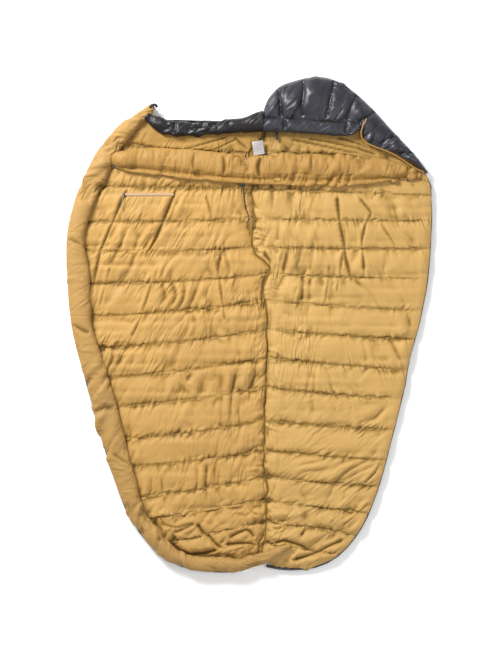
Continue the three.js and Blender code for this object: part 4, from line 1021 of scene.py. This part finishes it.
# piping round the hood's opening
pipe = grid([(366, 120), (362.5, 126), (360.5, 133), (361.5, 139), (365, 143.5), (375, 147.5), (385, 151), (395, 155.5), (404, 161), (413, 167.5), (424, 172.5)])
pz = np.interp(np.linspace(0, 1, len(pipe)), [0, 0.15, 0.3, 0.5, 1.0], [0.080, 0.074, 0.064, 0.060, 0.045])
ob, _ = cord_mesh("hood_piping", np.c_[pipe, pz], 0.0032, mat=M_PIPING)
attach(ob, "back_panel")

# the dark folded end of the zip tape at the tip
a = np.linspace(0, 1, 24)
tip = grid([(150.0, 108.0), (153.0, 105.2), (156.2, 105.0), (157.0, 107.5)])
q = smooth(np.c_[tip, [0.052, 0.058, 0.056, 0.050]], 0.004, 0.001)
ob, _ = cord_mesh("zip_end_binding", q, 0.0062, mat=M_TAPE)
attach(ob, "top_panel")

# care label: a folded strip that lies over the lining
lu, lv = np.linspace(0, 1, 30), np.linspace(0, 1, 44)
c, s = math.cos(0.14), math.sin(0.14)
x = (lu[None] - 0.5) * 0.047 + 0 * lv[:, None]
y = (0.5 - lv[:, None]) * 0.059 + 0 * lu[None]
z = 0.0475 + 0.0035 * np.sin(2.6 * lu[None] + 1.0) * (0.4 + lv[:, None]) + 0.0022 * np.sin(5 * lv[:, None] + 2 * lu[None])
lab = np.dstack([0.0383 + c * x - s * y, 0.7520 + s * x + c * y, z])
low = lab.copy()
low[..., 2] -= 0.0005
n1, n2 = lab.shape[:2]
F = np.concatenate([quads(n1, n2, flip=True), quads(n1, n2) + n1 * n2])
ring = np.r_[np.arange(n2), np.arange(1, n1) * n2 + n2 - 1, (n1 - 1) * n2 + np.arange(n2 - 2, -1, -1), np.arange(n1 - 2, 0, -1) * n2]
nxt = np.roll(ring, -1)
F = np.concatenate([F, np.stack([ring, nxt, nxt + n1 * n2, ring + n1 * n2], 1)])
ob = mesh("care_label_cloth", np.concatenate([lab.reshape(-1, 3), low.reshape(-1, 3)]), F, {"painted_shade": np.zeros(2 * n1 * n2)}, np.concatenate([cloth_uv(lab).reshape(-1, 2)] * 2))
ob.data.materials.append(M_LABEL)
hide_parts("care_label")
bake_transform(ob)

# drawcord: two strands down to their knot, along the CAD's route
D = np.array([11, -99.0]) / np.hypot(11, 99)
for word, k in (("a", -1.42), ("b", 1.42)):
    pts = []
    for d in (0, 20, 40, 60, 80, 96):
        p = np.array([-30, 604]) + D * d + np.array([-D[1], D[0]]) * k
        pts.append([p[0], p[1], 47.6])
    m = k * 1.1
    pts += [[-14.5 + m, 489, 46.6], [-9 + m, 476, 45.5], [-5 + m, 463, 45.4], [-3 + m, 452.6, 45.8]]
    pts = (np.array(pts) + (SX, SY, 0)) / 1000
    ob, q = cord_mesh("drawcord_" + word, pts, 0.00125, sides=12)
    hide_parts("collar_cord_" + word)
    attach(ob, "top_panel")

# ------------------------------------------------------------------ CAD pieces that stay get their finish
for names, mat in (
    (("top_zip_tape", "back_zip_tape"), M_TAPE),
    (("top_zip_coil", "back_zip_coil"), M_COIL),
    (("upper_slider", "lower_slider", "pocket_slider"), M_METAL),
    (("upper_slider_pull", "lower_slider_pull", "cord_lock_barrel", "cord_lock_button"), M_PLASTIC),
    (("pocket_zip_tape",), M_POCKET),
    (("pocket_zip_coil",), M_POCKET_COIL),
    (("collar_cord_knot",), M_CORD),
    (("pocket_pull",), M_PULL),
    (("hood_pull_loop",), M_WEB),
    (("collar_snap_stud", "collar_snap_socket"), M_SNAP),
    (("cord_lock_spring",), M_SPRING),
):
    for n in names:
        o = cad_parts[n]
        o.data.materials.clear()
        o.data.materials.append(mat)

# ------------------------------------------------------------------ stage: white floor, soft light from the head end
me = bpy.data.meshes.new("floor")
me.from_pydata([(-30, -30, -0.0002), (30, -30, -0.0002), (30, 30, -0.0002), (-30, 30, -0.0002)], [], [(0, 1, 2, 3)])
floor = bpy.data.objects.new("floor", me)
bpy.context.scene.collection.objects.link(floor)
fm = bpy.data.materials.new("white_floor")
fm.use_nodes = True
fb = fm.node_tree.nodes["Principled BSDF"]
fb.inputs["Base Color"].default_value = (0.95, 0.95, 0.95, 1)
fb.inputs["Roughness"].default_value = 0.9
fb.inputs["Specular IOR Level"].default_value = 0.1
me.materials.append(fm)

world = bpy.data.worlds.new("world")
bpy.context.scene.world = world
world.use_nodes = True
world.node_tree.nodes["Background"].inputs[0].default_value = (1.0, 1.0, 1.0, 1)
world.node_tree.nodes["Background"].inputs[1].default_value = 0.54


def area(name, at, to, size, power):
    l = bpy.data.lights.new(name, "AREA")
    l.shape, l.size, l.energy = "SQUARE", size, power
    o = bpy.data.objects.new(name, l)
    o.location = at
    o.rotation_euler = (Vector(to) - Vector(at)).to_track_quat("-Z", "Y").to_euler()
    bpy.context.scene.collection.objects.link(o)
    return o


area("key", (-2.6, 3.2, 3.2), (0, -0.1, 0), 1.5, 415)
area("fill", (2.8, -1.4, 4.2), (0, -0.2, 0), 4.0, 105)
bpy.context.scene.view_settings.view_transform = "Standard"
bpy.context.scene.view_settings.look = "None"
